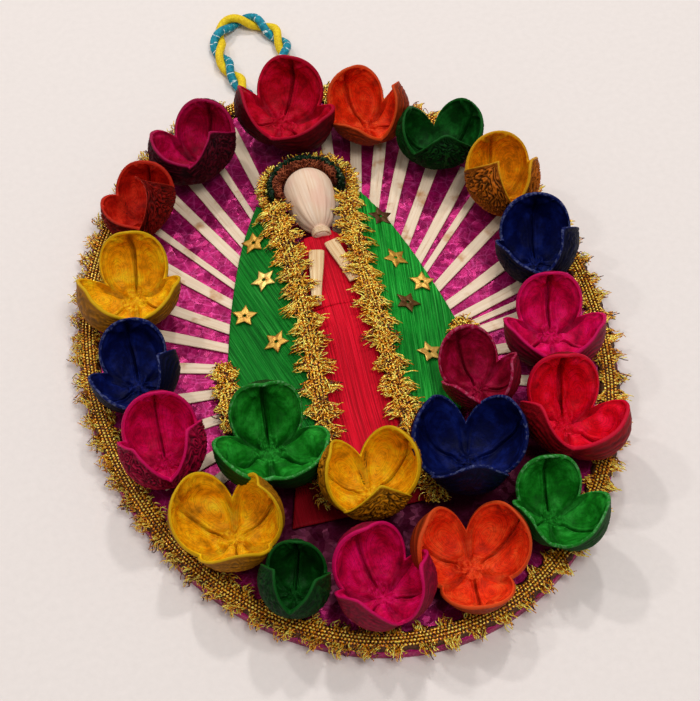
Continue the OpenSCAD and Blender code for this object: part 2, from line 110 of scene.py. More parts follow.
# %% A helper for materials made of nodes
def to_linear(colour):
    """Light values of a colour that is written as it looks on a screen, each part from 0 to 1."""
    c = np.asarray(colour, float)
    return np.where(c <= 0.04045, c / 12.92, ((c + 0.055) / 1.055) ** 2.4)


def paint(colour):
    """A colour as a node socket takes it: light values and full opacity."""
    return (*(float(c) for c in to_linear(colour)), 1.0)


class Finish:
    """One material. Each method adds a node and returns the output that the next node reads."""

    def __init__(self, name, roughness=0.5, metallic=0.0, specular=0.5):
        self.material = bpy.data.materials.new(name)
        self.material.use_nodes = True
        self.tree = self.material.node_tree
        self.shader = self.tree.nodes["Principled BSDF"]
        constants = {"Roughness": roughness, "Metallic": metallic, "Specular IOR Level": specular}
        for key, value in constants.items():
            self.shader.inputs[key].default_value = value
        print("finish:", name)

    def node(self, kind, links=(), **settings):
        """Adds a node; links are (input, value or output) pairs."""
        node = self.tree.nodes.new("ShaderNode" + kind)
        for key, value in settings.items():
            setattr(node, key, value)
        for key, value in links:
            self.put(node.inputs[key], value)
        return node

    def put(self, socket, value):
        """Links an output to a socket, or sets the socket's own value."""
        if isinstance(value, bpy.types.NodeSocket):
            self.tree.links.new(value, socket)
        else:
            socket.default_value = value

    def place(self):
        """Object coordinates, in metres."""
        return self.node("TexCoord").outputs["Object"]

    def mark(self, name):
        """A value stored on the mesh's points."""
        return self.node("Attribute", attribute_name=name).outputs["Fac"]

    def height(self):
        """How far up the board a point lies, in metres."""
        return self.node("SeparateXYZ", [(0, self.place())]).outputs["Y"]

    def calc(self, how, a, b=0.0):
        """One step of arithmetic."""
        return self.node("Math", [(0, a), (1, b)], operation=how).outputs[0]

    def times(self, a, b):
        """A product."""
        return self.calc("MULTIPLY", a, b)

    def plus(self, a, b):
        """A sum."""
        return self.calc("ADD", a, b)

    def vector(self, how, a, b=(0, 0, 0)):
        """One step of arithmetic on vectors: its outputs."""
        return self.node("VectorMath", [(0, a), (1, b)], operation=how).outputs

    def noise(self, scale, detail=3.0, rough=0.55, where=None):
        """Cloudy noise from 0 to 1, on object coordinates unless others are given."""
        where = self.place() if where is None else where
        links = [("Vector", where), ("Scale", scale), ("Detail", detail), ("Roughness", rough)]
        return self.node("TexNoise", links).outputs["Fac"]

    def streaks(self, across, along, detail, rough=0.55):
        """Noise drawn out along a grain: two values stored on the points, each times its own scale."""
        parts = [self.times(self.mark("across"), across), self.times(self.mark("along"), along)]
        where = self.node("CombineXYZ", enumerate(parts)).outputs[0]
        return self.noise(1.0, detail, rough, where)

    def facets(self, scale):
        """Crushed paper, in millimetres: each random cell is flat and slopes its own way."""
        where = self.place()
        cell = self.node("TexVoronoi", [("Vector", where), ("Scale", scale)], feature="F1").outputs
        apart = self.vector("SUBTRACT", where, cell["Position"])[0]
        slope = self.vector("SUBTRACT", cell["Color"], (0.5, 0.5, 0.5))[0]
        return self.times(self.vector("DOT_PRODUCT", apart, slope)["Value"], 1 / MM)

    def cracks(self, scale):
        """Distance to the borders of random cells, in parts of a cell."""
        links = [("Vector", self.place()), ("Scale", scale)]
        return self.node("TexVoronoi", links, feature="DISTANCE_TO_EDGE").outputs["Distance"]

    def ramp(self, value, *stops):
        """Colours along a value: each stop is (position, colour)."""
        node = self.node("ValToRGB", [("Fac", value)])
        while len(node.color_ramp.elements) < len(stops):
            node.color_ramp.elements.new(0.5)
        for element, (position, colour) in zip(node.color_ramp.elements, stops):
            element.position = position
            element.color = paint(colour)
        return node.outputs["Color"]

    def band(self, value, low, high):
        """0 below low, 1 above high, smooth between."""
        links = [("Value", value), ("From Min", low), ("From Max", high)]
        return self.node("MapRange", links, interpolation_type="SMOOTHSTEP").outputs["Result"]

    def mix(self, share, a, b, how="MIX"):
        """A mix of two colours."""
        return self.node("Mix", [(0, share), (6, a), (7, b)], data_type="RGBA", blend_type=how).outputs[2]

    def colour(self, value):
        """Sets the surface's colour."""
        self.put(self.shader.inputs["Base Color"], value)
        return self

    def rough(self, value, low, high):
        """Roughness that runs from low to high with a value."""
        links = [("Value", value), ("To Min", low), ("To Max", high)]
        self.put(self.shader.inputs["Roughness"], self.node("MapRange", links).outputs["Result"])
        return self

    def bump(self, *heights):
        """Fine relief: each height is (value, depth in millimetres), stacked one on the other."""
        normal = None
        for value, depth in heights:
            links = [("Height", value), ("Distance", depth * MM), ("Strength", 1.0)]
            if normal is not None:
                links.append(("Normal", normal))
            normal = self.node("Bump", links).outputs["Normal"]
        self.put(self.shader.inputs["Normal"], normal)
        return self


print("finish helper ready")

# %% Two short cuts
def speckled(name, scale, detail, low, high, depth, **constants):
    """A plain finish: one noise gives its colour, from the stop low to the stop high, and its fine relief."""
    finish = Finish(name, **constants)
    speck = finish.noise(scale, detail)
    return finish.colour(finish.ramp(speck, low, high)).bump((speck, depth))


def coat(finish, *nodes):
    """Gives a finish to CAD nodes that keep their own shape."""
    for node in nodes:
        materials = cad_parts[node].data.materials
        materials.clear()
        materials.append(finish.material)
        print(f"{node} keeps its shape and takes {finish.material.name}")


print("short cuts ready")

# %% [markdown]
# ## Tools for shapes
#
# Two kinds of surface make almost everything here. A sheet is a grid of two parameters, and a thread is
# a ring carried along a path. Both are worked out as whole numpy arrays and put into a mesh in one go,
# which is quick enough for thousands of gold threads.

# %% Steps, directions and noise
def ease(t):
    """Smooth step from 0 to 1: three t squared less two t cubed, flat at both ends."""
    t = np.clip(t, 0, 1)
    return t * t * (3 - 2 * t)


def unit(v):
    """Vectors of length one."""
    return v / np.maximum(np.linalg.norm(v, axis=-1, keepdims=True), 1e-9)


def left_of(v):
    """Plan vectors a quarter turn to the left of others."""
    return np.stack([-v[..., 1], v[..., 0]], -1)


def flat(points, z):
    """Plan points lifted to a height."""
    return np.concatenate([points, np.broadcast_to(z, points.shape[:-1])[..., None]], -1)


def run(path):
    """Distance along a path from its first point to each of its points."""
    return np.concatenate([[0], np.linalg.norm(np.diff(path, axis=0), axis=1).cumsum()])


def at_distances(path, want):
    """Points of a path at the wanted distances along it."""
    return np.stack([np.interp(want, run(path), line) for line in path.T], 1)


def lattice_noise(x, y, seed, period=64):
    """Noise from 0 to 1: random heights on a lattice that repeats every period along x, eased between."""
    heights = np.random.default_rng(seed).random((period, 64))
    i, j = np.floor(x).astype(int), np.floor(y).astype(int)
    fx, fy = ease(x - i), ease(y - j)
    low = heights[i % period, j % 64] * (1 - fx) + heights[(i + 1) % period, j % 64] * fx
    high = heights[i % period, (j + 1) % 64] * (1 - fx) + heights[(i + 1) % period, (j + 1) % 64] * fx
    return low * (1 - fy) + high * fy


print("noise at a quarter of a cell:", lattice_noise(np.array([0.25]), np.array([0.25]), 1).round(3))

# %% Grids and meshes
def grid_quads(rows, cols, round_rows=False, round_cols=False):
    """Corner numbers of the quads of a grid; round_rows and round_cols join its last line to its first."""
    r, c = np.meshgrid(np.arange(rows - (not round_rows)), np.arange(cols - (not round_cols)), indexing="ij")
    up, on = (r + 1) % rows, (c + 1) % cols
    return np.stack([r * cols + c, r * cols + on, up * cols + on, up * cols + c], -1).reshape(-1, 4)


def pole_fans(rows, cols):
    """Triangles that close a grid's first and last row with two poles, which follow the grid's own points."""
    i, j = np.arange(cols), (np.arange(cols) + 1) % cols
    pole, last = np.full(cols, rows * cols), (rows - 1) * cols
    return np.concatenate([np.stack([pole, i, j], 1), np.stack([pole + 1, last + j, last + i], 1)])


NO_TRIANGLES = np.zeros((0, 3), int)


def make_piece(name, shape, finish, body="plaque", replaces=(), second=None):
    """Puts a shape into a mesh and ties the piece to the frame. A shape is points in mm, quads, triangles and
    marks, which are values on the points. second is (finish, face mask): those quads take another finish."""
    points, quads, tris, marks = shape
    mesh = bpy.data.meshes.new(name)
    corners = np.concatenate([quads.ravel(), tris.ravel()]).astype(np.int32)
    starts = np.concatenate([np.arange(len(quads)) * 4, len(quads) * 4 + np.arange(len(tris)) * 3])
    mesh.vertices.add(len(points))
    mesh.vertices.foreach_set("co", (np.asarray(points, float) * MM).astype(np.float32).ravel())
    mesh.loops.add(len(corners))
    mesh.loops.foreach_set("vertex_index", corners)
    mesh.polygons.add(len(starts))
    mesh.polygons.foreach_set("loop_start", starts.astype(np.int32))
    mesh.polygons.foreach_set("use_smooth", np.ones(len(starts), bool))
    mesh.materials.append(finish.material)
    if second is not None:
        mesh.materials.append(second[0].material)
        chosen = np.concatenate([second[1], np.zeros(len(tris), bool)])
        mesh.polygons.foreach_set("material_index", chosen.astype(np.int32))
    for key, values in marks.items():
        layer = mesh.attributes.new(key, "FLOAT", "POINT")
        layer.data.foreach_set("value", np.broadcast_to(values, len(points)).astype(np.float32).ravel())
    mesh.update(calc_edges=True)
    mesh.validate()
    piece = bpy.data.objects.new(name, mesh)
    bpy.context.scene.collection.objects.link(piece)
    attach(piece, body)
    if replaces:
        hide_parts(*replaces)
    print(f"{name}: {len(points)} points, {len(quads) * 2 + len(tris)} triangles")
    return piece


print("quads of a grid of 2 by 3 points:", grid_quads(2, 3).tolist())

# %% Threads
def tubes(centres, half_across, half_up, sides, closed=False, up=(0, 0, 1), boxy=1.0):
    """Many threads at once: point = centre + across * half_across * cos(a) + lift * half_up * sin(a), where
    across and lift are square to the path. boxy below 1 raises the cosine and sine to that power, which
    squares the ring off. Returns a shape with the distance along the thread as its mark."""
    count, steps, _ = centres.shape
    ahead = np.roll(centres, -1, 1) - np.roll(centres, 1, 1) if closed else np.gradient(centres, axis=1)
    ahead = unit(ahead)
    lift = unit(np.asarray(up, float) - (ahead @ np.asarray(up, float))[..., None] * ahead)
    across = np.cross(lift, ahead)
    a = 2 * np.pi * (np.arange(sides) + 0.5) / sides
    wide = np.broadcast_to(half_across, (count, steps))[..., None, None]
    high = np.broadcast_to(half_up, (count, steps))[..., None, None]
    c, s = (np.sign(w) * np.abs(w) ** boxy for w in (np.cos(a)[:, None], np.sin(a)[:, None]))
    ring = across[:, :, None] * wide * c + lift[:, :, None] * high * s
    points = (centres[:, :, None] + ring).reshape(-1, 3)
    length = np.linalg.norm(np.diff(centres, axis=1), axis=-1).cumsum(1)
    along = np.repeat(np.concatenate([np.zeros((count, 1)), length], 1).ravel(), sides)
    first = np.arange(count) * steps * sides
    quads = (first[:, None, None] + grid_quads(steps, sides, closed, True)).reshape(-1, 4)
    if closed:
        return points, quads, NO_TRIANGLES, {"along": along}
    ends = len(points) + np.arange(count * 2).reshape(-1, 2)
    i, j = np.arange(sides), (np.arange(sides) + 1) % sides
    start = np.stack(np.broadcast_arrays(ends[:, :1], first[:, None] + j, first[:, None] + i), -1)
    last = first[:, None] + (steps - 1) * sides
    stop = np.stack(np.broadcast_arrays(ends[:, 1:], last + i, last + j), -1)
    points = np.concatenate([points, centres[:, [0, -1]].reshape(-1, 3)])
    along = np.concatenate([along, np.stack([np.zeros(count), length[:, -1]], 1).ravel()])
    return points, quads, np.concatenate([start, stop]).reshape(-1, 3), {"along": along}


def marked(shape, **marks):
    """The same shape with these marks in place of its own."""
    return (*shape[:3], marks)


def on_threads(value, steps, sides):
    """One value for each thread, given to all its ring points and to the middles of its two ends."""
    return np.concatenate([np.repeat(value, steps * sides), np.repeat(value, 2)])


print("a thread of three rings with four sides has", len(tubes(np.eye(3)[None], 0.1, 0.1, 4)[0]), "points")

# %% [markdown]
# ## The hanging loop
#
# The loop is two soft strands twisted round each other: a plain yellow one, and a turquoise one that is
# served with thread and crossed by thin white rings. Its ends go into the board between the two cards.
# A curve with a bevel would give a plain tube, so the strands are computed instead: each keeps half a
# turn away from the other on a helix round the loop's own middle line. The loop lifts about the board's
# edge, and a short root of each strand stays behind with the board.

# %% Cord finishes
yellow_strand = speckled("yellow_strand", 1400, 4, (0.25, (0.82, 0.62, 0.03)), (0.65, (0.98, 0.86, 0.12)),
                         0.12, roughness=0.7, specular=0.3)

turquoise_strand = Finish("turquoise_strand", roughness=0.6, specular=0.3)
served = turquoise_strand.times(turquoise_strand.mark("along"), 1 / 3.4)
wander = turquoise_strand.noise(260)
place_along = turquoise_strand.calc("FRACT", turquoise_strand.plus(served, wander))
worn = turquoise_strand.band(turquoise_strand.noise(420), 0.42, 0.52)
ring_mask = turquoise_strand.times(turquoise_strand.band(place_along, 0.86, 0.91), worn)
thread_tone = turquoise_strand.noise(900, detail=4)
turquoise = turquoise_strand.ramp(thread_tone, (0.3, (0.01, 0.36, 0.46)), (0.7, (0.05, 0.62, 0.70)))
turquoise_strand.colour(turquoise_strand.mix(ring_mask, turquoise, paint((0.88, 0.93, 0.93))))
turquoise_strand.bump((thread_tone, 0.15))

# %% The loop itself
STRAND_D = 3.2
TWIST_PITCH, FIRST_PHASE = 20.5, 0.6
HINGE_Y, HINGE_Z = RIM_B + 3.95, STRAND_D
LOOP_ROUTE = np.array([
    [-9, 0], [-11, 8], [-13.5, 17], [-14.5, 26.5], [-12, 34], [-7.5, 38.5], [-1.5, 39],
    [4, 35.5], [8.5, 29], [10.3, 22.5], [10, 16], [8, 9.5], [5.5, 4.5], [4, 0]])


def smooth_route(route, steps):
    """Catmull-Rom curve through the points of a route, with the end points repeated."""
    p = np.vstack([route[:1], route, route[-1:]])
    a, b, c, d = p[:-3, None], p[1:-2, None], p[2:-1, None], p[3:, None]
    t = np.linspace(0, 1, steps, endpoint=False)[None, :, None]
    curve = 0.5 * (2 * b + (c - a) * t + (2 * a - 5 * b + 4 * c - d) * t**2 + (3 * b - a - 3 * c + d) * t**3)
    return np.vstack([curve.reshape(-1, p.shape[1]), route[-1:]])


def round_end(left):
    """Share of a strand's radius where so much of its length is left: a quarter circle at the very end."""
    return np.sqrt(np.clip(1 - (1 - left / (STRAND_D / 2)).clip(0) ** 2, 0.02, 1))


def turquoise_half(shape):
    """The finish of the second strand of each pair, and the mask of its faces."""
    count = len(shape[1])
    return turquoise_strand, np.arange(count) >= count // 2


def twisted_loop(steps=420, sides=14):
    """Two strands: middle line + radius * (cos(phase) * side + sin(phase) * up), half a turn apart."""
    route = smooth_route(LOOP_ROUTE, 40)
    plan = at_distances(route, np.linspace(0, run(route)[-1], steps))
    middle = flat(plan + [0, HINGE_Y], HINGE_Z)
    ahead = unit(np.gradient(middle, axis=0))
    side = np.cross([0, 0, 1], ahead)
    far = np.linspace(0, run(middle)[-1], steps)
    phase = 2 * np.pi * far / TWIST_PITCH + FIRST_PHASE + np.array([[0], [np.pi]])
    turn = np.cos(phase)[..., None] * side + np.sin(phase)[..., None] * np.array([0, 0, 1.0])
    strands = middle + turn * STRAND_D / 2 * 0.98
    served_rib = 1 + 0.03 * np.sin(2 * np.pi * far / 0.85) * np.array([[0.3], [1.0]])
    radius = STRAND_D / 2 * round_end(np.minimum(far, far[::-1])) * served_rib
    return middle, strands, tubes(strands, radius, radius, sides)


loop_middle, loop_strands, loop_shape = twisted_loop()
hanging_loop = make_piece("hanging_loop", loop_shape, yellow_strand, body="hanger",
                          replaces=["hanger_loop"], second=turquoise_half(loop_shape))
loop_length = run(loop_middle)[-1] * MM
print(f"the loop is {loop_length * 1000:.0f} mm long")

# %% The loop's roots
ROOT_INSET = 2.0


def strand_roots(steps=14, sides=14):
    """Straight strands from inside the board's edge to the hinge and one radius past it, where they end
    round. They stay with the board, so the cord still joins it when the loop lifts."""
    ends = loop_strands[:, [0, -1]].reshape(-1, 3)
    roots = ends * [1, 0, 0] + [0, RIM_B - ROOT_INSET, Z_FOIL / 2]
    far = np.linspace(0, 1, steps)[:, None] * (np.linalg.norm(ends - roots, axis=1) + STRAND_D / 2)
    paths = roots[:, None] + unit(ends - roots)[:, None] * far.T[..., None]
    radius = STRAND_D / 2 * round_end(far[-1] - far).T
    return tubes(paths, radius, radius, sides)


root_shape = strand_roots()
make_piece("loop_roots", root_shape, yellow_strand, second=turquoise_half(root_shape))

# %% [markdown]
# ## The card and its foil
#
# The board is two pasteboard cards, with the loop's ends between them, wrapped in thin metallised paper.
# The paper creases as it is pasted. A bump map could fake the creases, but they show against the light,
# so the foil is a real surface: a profile that runs over the top, down the rim and back underneath,
# carried round the oval, with folds pressed into its top. Its finish paints shade between the lower pods,
# and pale lines along the creases are painted highlights.

# %% Card and foil finishes
pasteboard = speckled("pasteboard", 700, 6, (0.3, (0.55, 0.45, 0.32)), (0.7, (0.70, 0.60, 0.45)), 0.08,
                      roughness=0.85)
coat(pasteboard, "rear_card", "front_card")

foil = Finish("magenta_foil", roughness=0.36, metallic=0.5, specular=0.3)
broad, narrow = foil.facets(170), foil.facets(480)
tint = foil.noise(240, detail=5)
pressed = foil.ramp(tint, (0.3, (0.50, 0.01, 0.25)), (0.7, (0.72, 0.04, 0.40)))
# painted highlights: pale lines along the cracks of the crushed foil
for scale, strength in ((210, 0.30), (460, 0.20)):
    line = foil.times(foil.band(foil.cracks(scale), 0.05, 0.012), strength)
    pressed = foil.mix(line, pressed, paint((0.92, 0.34, 0.66)))
# painted shade between the lower pods: it covers the lower part of the oval and fades out at its rim, where
# (x / a, y / b) has length 1
inward = foil.vector("MULTIPLY", foil.place(), (12.2, 9.1, 0))[0]
reach = foil.vector("LENGTH", inward)["Value"]
low_down = foil.band(foil.height(), -0.035, -0.060)
painted_gap_shade = foil.times(low_down, foil.band(reach, 1.0, 0.93))
pressed = foil.mix(foil.times(painted_gap_shade, 0.85), pressed, paint((0.22, 0.01, 0.09)))
foil.colour(pressed).rough(tint, 0.30, 0.48).bump((broad, 0.22), (narrow, 0.30), (tint, 0.05))

# %% The foil
# how far the foil's outside and inside stand off the card, and the rounding of its edge
FOIL_OUT, FOIL_IN, FOIL_ABOVE, FOIL_ROUND = 0.45, 0.06, 0.02, 0.3
FOLD_COUNT, FOLD_DEPTH, FOLD_HALF_W = 170, 0.30, 0.9


def pressed_folds(x, y, seed):
    """Creases pressed into paper, from 0 to 1: each random line is a groove of depth one over
    (1 + distance squared) that fades towards the line's own ends, and the deepest one wins."""
    rng = np.random.default_rng(seed)
    angle = rng.uniform(0, np.pi, FOLD_COUNT)
    at = rng.uniform(-1, 1, (FOLD_COUNT, 2)) * [RIM_A, RIM_B]
    reach = rng.uniform(8, 26, FOLD_COUNT)
    deepest = np.zeros_like(x)
    for a, (px, py), r in zip(angle, at, reach):
        along = (x - px) * math.cos(a) + (y - py) * math.sin(a)
        apart = (y - py) * math.cos(a) - (x - px) * math.sin(a)
        deepest = np.maximum(deepest, np.exp(-(along / r) ** 2) / (1 + (apart / FOLD_HALF_W) ** 2))
    return deepest


def foil_surface(cols=300, rings=74):
    """Profile over the oval: out along the top, down the rim, in under the edge and back along the inside."""
    a = 2 * np.pi * np.arange(cols) / cols
    share = np.sqrt(np.linspace(0.0004, 1, rings))
    round_a, round_b = RIM_A + FOIL_OUT - FOIL_ROUND, RIM_B + FOIL_OUT - FOIL_ROUND
    inside = Z_CARD + FOIL_ABOVE
    rows = [(s * round_a, s * round_b, Z_FOIL) for s in share]
    rows += [(RIM_A + FOIL_OUT, RIM_B + FOIL_OUT, z) for z in (Z_FOIL - FOIL_ROUND, Z_FOIL - 1.6, 1.5, 0.2)]
    rows += [(RIM_A + FOIL_OUT - 0.2, RIM_B + FOIL_OUT - 0.2, 0.0)]
    rows += [(RIM_A + FOIL_IN, RIM_B + FOIL_IN, z) for z in (0.0, inside)]
    rows += [(RIM_A * 0.5, RIM_B * 0.5, inside), (0.5, 0.5, inside)]
    half = np.array(rows)
    x, y = half[:, :1] * np.cos(a), half[:, 1:2] * np.sin(a)
    z = np.repeat(half[:, 2:], cols, 1)
    top = np.arange(len(rows)) < rings
    z[top] -= FOLD_DEPTH * pressed_folds(x[top], y[top], 5)
    points = np.stack([x, y, z], -1).reshape(-1, 3)
    poles = np.array([[0, 0, Z_FOIL], [0, 0, inside]])
    quads = grid_quads(len(rows), cols, round_cols=True)[:, ::-1]
    return np.vstack([points, poles]), quads, pole_fans(len(rows), cols), {}


make_piece("foil_skin", foil_surface(), foil, replaces=["foil_cover"])

# %% [markdown]
# ## Straw rays
#
# Flattened wheat straws fan out from behind the figure. A straw is a squashed tube with fine fibres,
# brownish edges and a knife-cut end, and no two lie quite straight. Each one is an oval ring carried
# from the figure to the braid, with a small drift sideways, and its fibres follow the straw's length.

# %% Straw finish
straw = Finish("straw_skin", roughness=0.55, specular=0.2)
fibre = straw.streaks(2.6, 0.05, detail=5)
blotch = straw.noise(130, detail=3)
pale = straw.ramp(fibre, (0.22, (0.68, 0.52, 0.38)), (0.38, (0.91, 0.80, 0.68)), (0.75, (0.97, 0.89, 0.79)))
stained = straw.mix(straw.band(blotch, 0.56, 0.75), pale, paint((0.84, 0.70, 0.56)), "MULTIPLY")
straw.colour(stained).rough(fibre, 0.62, 0.45).bump((fibre, 0.10))

# %% The straws
RAY_CENTRE = np.array([0.0, -15.0])
RAYS = {
    "straw_rays_left": (-1, [9, 14.5, 21, 27, 35, 42, 53, 63, 74, 86, 98, 111, 119]),
    "straw_rays_right": (1, [8, 14, 19, 24.5, 31, 38, 43, 52, 62, 71, 76.5, 81, 92, 107]),
}
NARROW_RAYS = [35, 43, 76.5, 14.5]
STRAW_W, STRAW_NARROW_W, STRAW_TAPER = 4.6, 2.8, 0.8
# the straws begin under the figure, further out above its head
RAY_START, RAY_START_TOP = 38.5, 13.0
BRAID_ROOM = 9.8


def ray_reach(d):
    """Distance from the rays' meeting point to the oval inside the braid, along each direction."""
    a, b = RIM_A - BRAID_ROOM, RIM_B - BRAID_ROOM
    p = RAY_CENTRE / [a, b]
    q = d / [a, b]
    qa, qb, qc = (q * q).sum(1), 2 * (q * p).sum(1), (p * p).sum() - 1
    return (-qb + np.sqrt(qb * qb - 4 * qa * qc)) / (2 * qa)


def straw_fan(side, angles, seed, steps=26, sides=16):
    """Flattened tubes: middle line = start + distance * direction + a slow sideways drift, wider outwards."""
    rng = np.random.default_rng(seed)
    angle = np.radians(angles)
    d = np.stack([side * np.sin(angle), np.cos(angle)], 1)
    wide = np.where(np.isin(angles, NARROW_RAYS), STRAW_NARROW_W, STRAW_W)
    start = RAY_START + RAY_START_TOP * np.maximum(0, np.cos(angle)) ** 3
    stop = ray_reach(d) - wide / 2 * (0.2 + 1.2 * np.abs(np.sin(2 * angle)))
    share = np.linspace(0, 1, steps)
    far = start[:, None] + (stop - start)[:, None] * share
    drift = rng.uniform(-0.4, 0.4, (len(angle), 1)) * np.sin(np.pi * share)
    plan = RAY_CENTRE + d[:, None] * far[..., None] - left_of(d)[:, None] * drift[..., None]
    thick = (Z_STRAW - Z_FOIL) / 2
    swell = 1 + 0.04 * np.sin(9 * share + rng.uniform(0, 6, (len(angle), 1)))
    half = wide[:, None] / 2 * (STRAW_TAPER + (1 - STRAW_TAPER) * share) * swell
    points, quads, tris, marks = tubes(flat(plan, Z_FOIL + thick), half, thick, sides, boxy=0.4)
    around = np.tile(np.cos(2 * np.pi * (np.arange(sides) + 0.5) / sides), len(angle) * steps)
    lane = np.repeat(rng.uniform(0, 200, len(angle)), steps * sides)
    marks["across"] = np.concatenate([around * STRAW_W / 2 + lane, np.zeros(2 * len(angle))])
    return points, quads, tris, marks


for seed, (node, (side, angles)) in enumerate(RAYS.items()):
    fan = straw_fan(side, np.array(angles), seed + 20)
    make_piece(node.replace("rays", "fan"), fan, straw, replaces=[node])

# %% [markdown]
# ## Husk sheets
#
# The dress and the mantle are strips of dyed corn husk pressed over a rolled core. Husk is a leaf: thin,
# stiff, with fine ribs that all run one way. Cloth simulation would make it fall like a textile, which
# it doesn't do, so each sheet is a grid laid over the body's relief, with its ribs raised in the surface
# and its grain stored on the points for the finish to follow.

# %% The relief that the sheets lie on
HUSK_T, LAYER_GAP = 0.8, 0.3
SHEET_STEP = HUSK_T + 1.5 * LAYER_GAP
BODY_RISE, BODY_HALF = 9.0, 34.0
FLAT_Y, FULL_Y, WAIST_Y, SEAM_Y, HEM_Y, CHEST_Y = -34.0, 0.0, 16.5, 7.5, -74.0, 37.5
BODICE_HALF, HEM_HALF = 9.0, 36.0
SKIRT_LAP, SKIRT_LAP_RUN = 8.0, 6.0


def ridge(x, y):
    """Height of the body: half a cosine wave across it, easing to nothing below the waist."""
    across = (1 + np.cos(np.pi * np.minimum(1, np.abs(x) / BODY_HALF))) / 2
    return BODY_RISE * across * ease((y - FLAT_Y) / (FULL_Y - FLAT_Y))


def skirt_half(y):
    """Half width of the dress: straight above the waist, widening evenly to the hem."""
    return BODICE_HALF + (HEM_HALF - BODICE_HALF) * np.maximum(0, WAIST_Y - y) / (WAIST_Y - HEM_Y)


def dress_low(x, y):
    """Underside of the dress."""
    return Z_STRAW + 2 * LAYER_GAP + ridge(x, y)


def mantle_low(x, y):
    """Underside of the mantle: it climbs onto the dress where the two overlap."""
    climb = np.clip((skirt_half(y) + SKIRT_LAP - np.abs(x)) / SKIRT_LAP_RUN, 0, 1)
    return dress_low(x, y) + SHEET_STEP * climb


def trim_low(x, y):
    """Underside of the gold trim on the mantle."""
    return mantle_low(x, y) + SHEET_STEP


def bezier(curve, t):
    """Point on a curve with one bend: the mix of two mixes."""
    p, t = np.asarray(curve, float), np.asarray(t)[..., None]
    return (1 - t) ** 2 * p[0] + 2 * t * (1 - t) * p[1] + t**2 * p[2]


def bezier_left(curve, t):
    """Unit vector square to the curve, on its left."""
    p, t = np.asarray(curve, float), np.asarray(t)[..., None]
    return left_of(unit((1 - t) * (p[1] - p[0]) + t * (p[2] - p[1])))


mantle_top = mantle_low(0.0, 10.0) + HUSK_T
print(f"the body stands {BODY_RISE:.0f} mm proud, the mantle's top is {mantle_top:.1f} mm up")

# %% A sheet of husk
def husk_sheet(plan, low, lean, rib, seed, thick=1.0, lap=None):
    """A thin closed sheet over a plan grid (rows, cols, 2): top = low + thickness + ribs + lap. lean is the
    angle of the fibres from straight down. Ribs are noise across the fibres, stretched along them. lap is the
    step where one husk is laid over another."""
    x, y = plan[..., 0], plan[..., 1]
    a = math.radians(lean)
    across, along = x * math.cos(a) + y * math.sin(a), y * math.cos(a) - x * math.sin(a)
    ribs = lattice_noise(across * 1.1 + 100, along * 0.02 + 50, seed) - 0.5
    fine = lattice_noise(across * 2.6 + 100, along * 0.04 + 50, seed + 1) - 0.5
    warp = lattice_noise(across * 0.12 + 100, along * 0.07 + 50, seed + 2) - 0.5
    rows, cols = x.shape
    border = np.minimum.reduce(np.broadcast_arrays(
        np.arange(rows)[:, None], np.arange(rows)[::-1, None], np.arange(cols), np.arange(cols)[::-1]))
    raised = rib * (ribs + 0.5 * fine) + 0.45 * warp + (lap(x, y) if lap else 0)
    high = low(x, y) + HUSK_T * thick * np.where(border == 0, 0.55, 1.0) + raised
    under = low(x, y) + 0.05
    points = np.concatenate([flat(plan, z).reshape(-1, 3) for z in (high, under)])
    top = grid_quads(rows, cols)
    number = np.arange(rows * cols).reshape(rows, cols)
    edge = np.concatenate([number[0, :-1], number[:-1, -1], number[-1, :0:-1], number[:0:-1, 0]])
    after = np.roll(edge, -1)
    wall = np.stack([edge + rows * cols, after + rows * cols, after, edge], 1)
    quads = np.concatenate([top, top[:, ::-1] + rows * cols, wall])
    e1, e2 = plan[0, 1] - plan[0, 0], plan[1, 0] - plan[0, 0]
    if e1[0] * e2[1] - e1[1] * e2[0] < 0:
        quads = quads[:, ::-1]
    marks = {"across": np.tile(across.ravel(), 2), "along": np.tile(along.ravel(), 2)}
    return points, quads, NO_TRIANGLES, marks


print("sheet helper ready")

# %% Husk finishes
def husk_finish(name, deep, middle, bright, roughness=0.6, hem=-1.0):
    """Dyed husk: light and dark fibres, darker veins between them, broad patches where the dye took more, a
    mark that darkens a whole sheet, partly with more dye and partly with painted shade, and painted shade
    below the height hem, in metres."""
    husk = Finish(name, roughness=roughness, specular=0.08)
    fibres = husk.streaks(3.8, 0.05, detail=6, rough=0.7)
    veins = husk.streaks(1.7, 0.015, detail=2)
    patches = husk.noise(45, detail=3)
    dyed = husk.ramp(fibres, (0.32, deep), (0.5, middle), (0.68, bright))
    shaded = husk.mix(husk.band(veins, 0.56, 0.40), dyed, husk.mix(0.55, dyed, paint(deep)))
    shaded = husk.mix(husk.band(patches, 0.45, 0.75), shaded, husk.mix(0.4, shaded, paint(deep)))
    # partly more dye and partly painted shade: a whole sheet darker, as on the left panel of the mantle
    shaded = husk.mix(husk.mark("dye_and_painted_shade"), shaded, paint(deep))
    # painted shade: the dress darker below the height hem
    painted_hem_shade = husk.times(husk.band(husk.height(), hem, hem - 0.016), 0.8)
    husk.colour(husk.mix(painted_hem_shade, shaded, paint(np.array(deep) * 0.7)))
    husk.rough(fibres, roughness + 0.1, roughness - 0.1)
    husk.bump((veins, 0.34), (fibres, 0.16))
    return husk


green_husk = husk_finish("green_husk", (0.00, 0.25, 0.05), (0.07, 0.62, 0.17), (0.31, 0.85, 0.35))
red_husk = husk_finish("red_husk", (0.54, 0.01, 0.06), (0.90, 0.03, 0.15), (0.97, 0.12, 0.24), hem=-0.044)
natural_husk = husk_finish("natural_husk", (0.80, 0.62, 0.44), (0.98, 0.86, 0.66), (1.0, 0.92, 0.77))
coat(natural_husk, "body_core", "head_core")
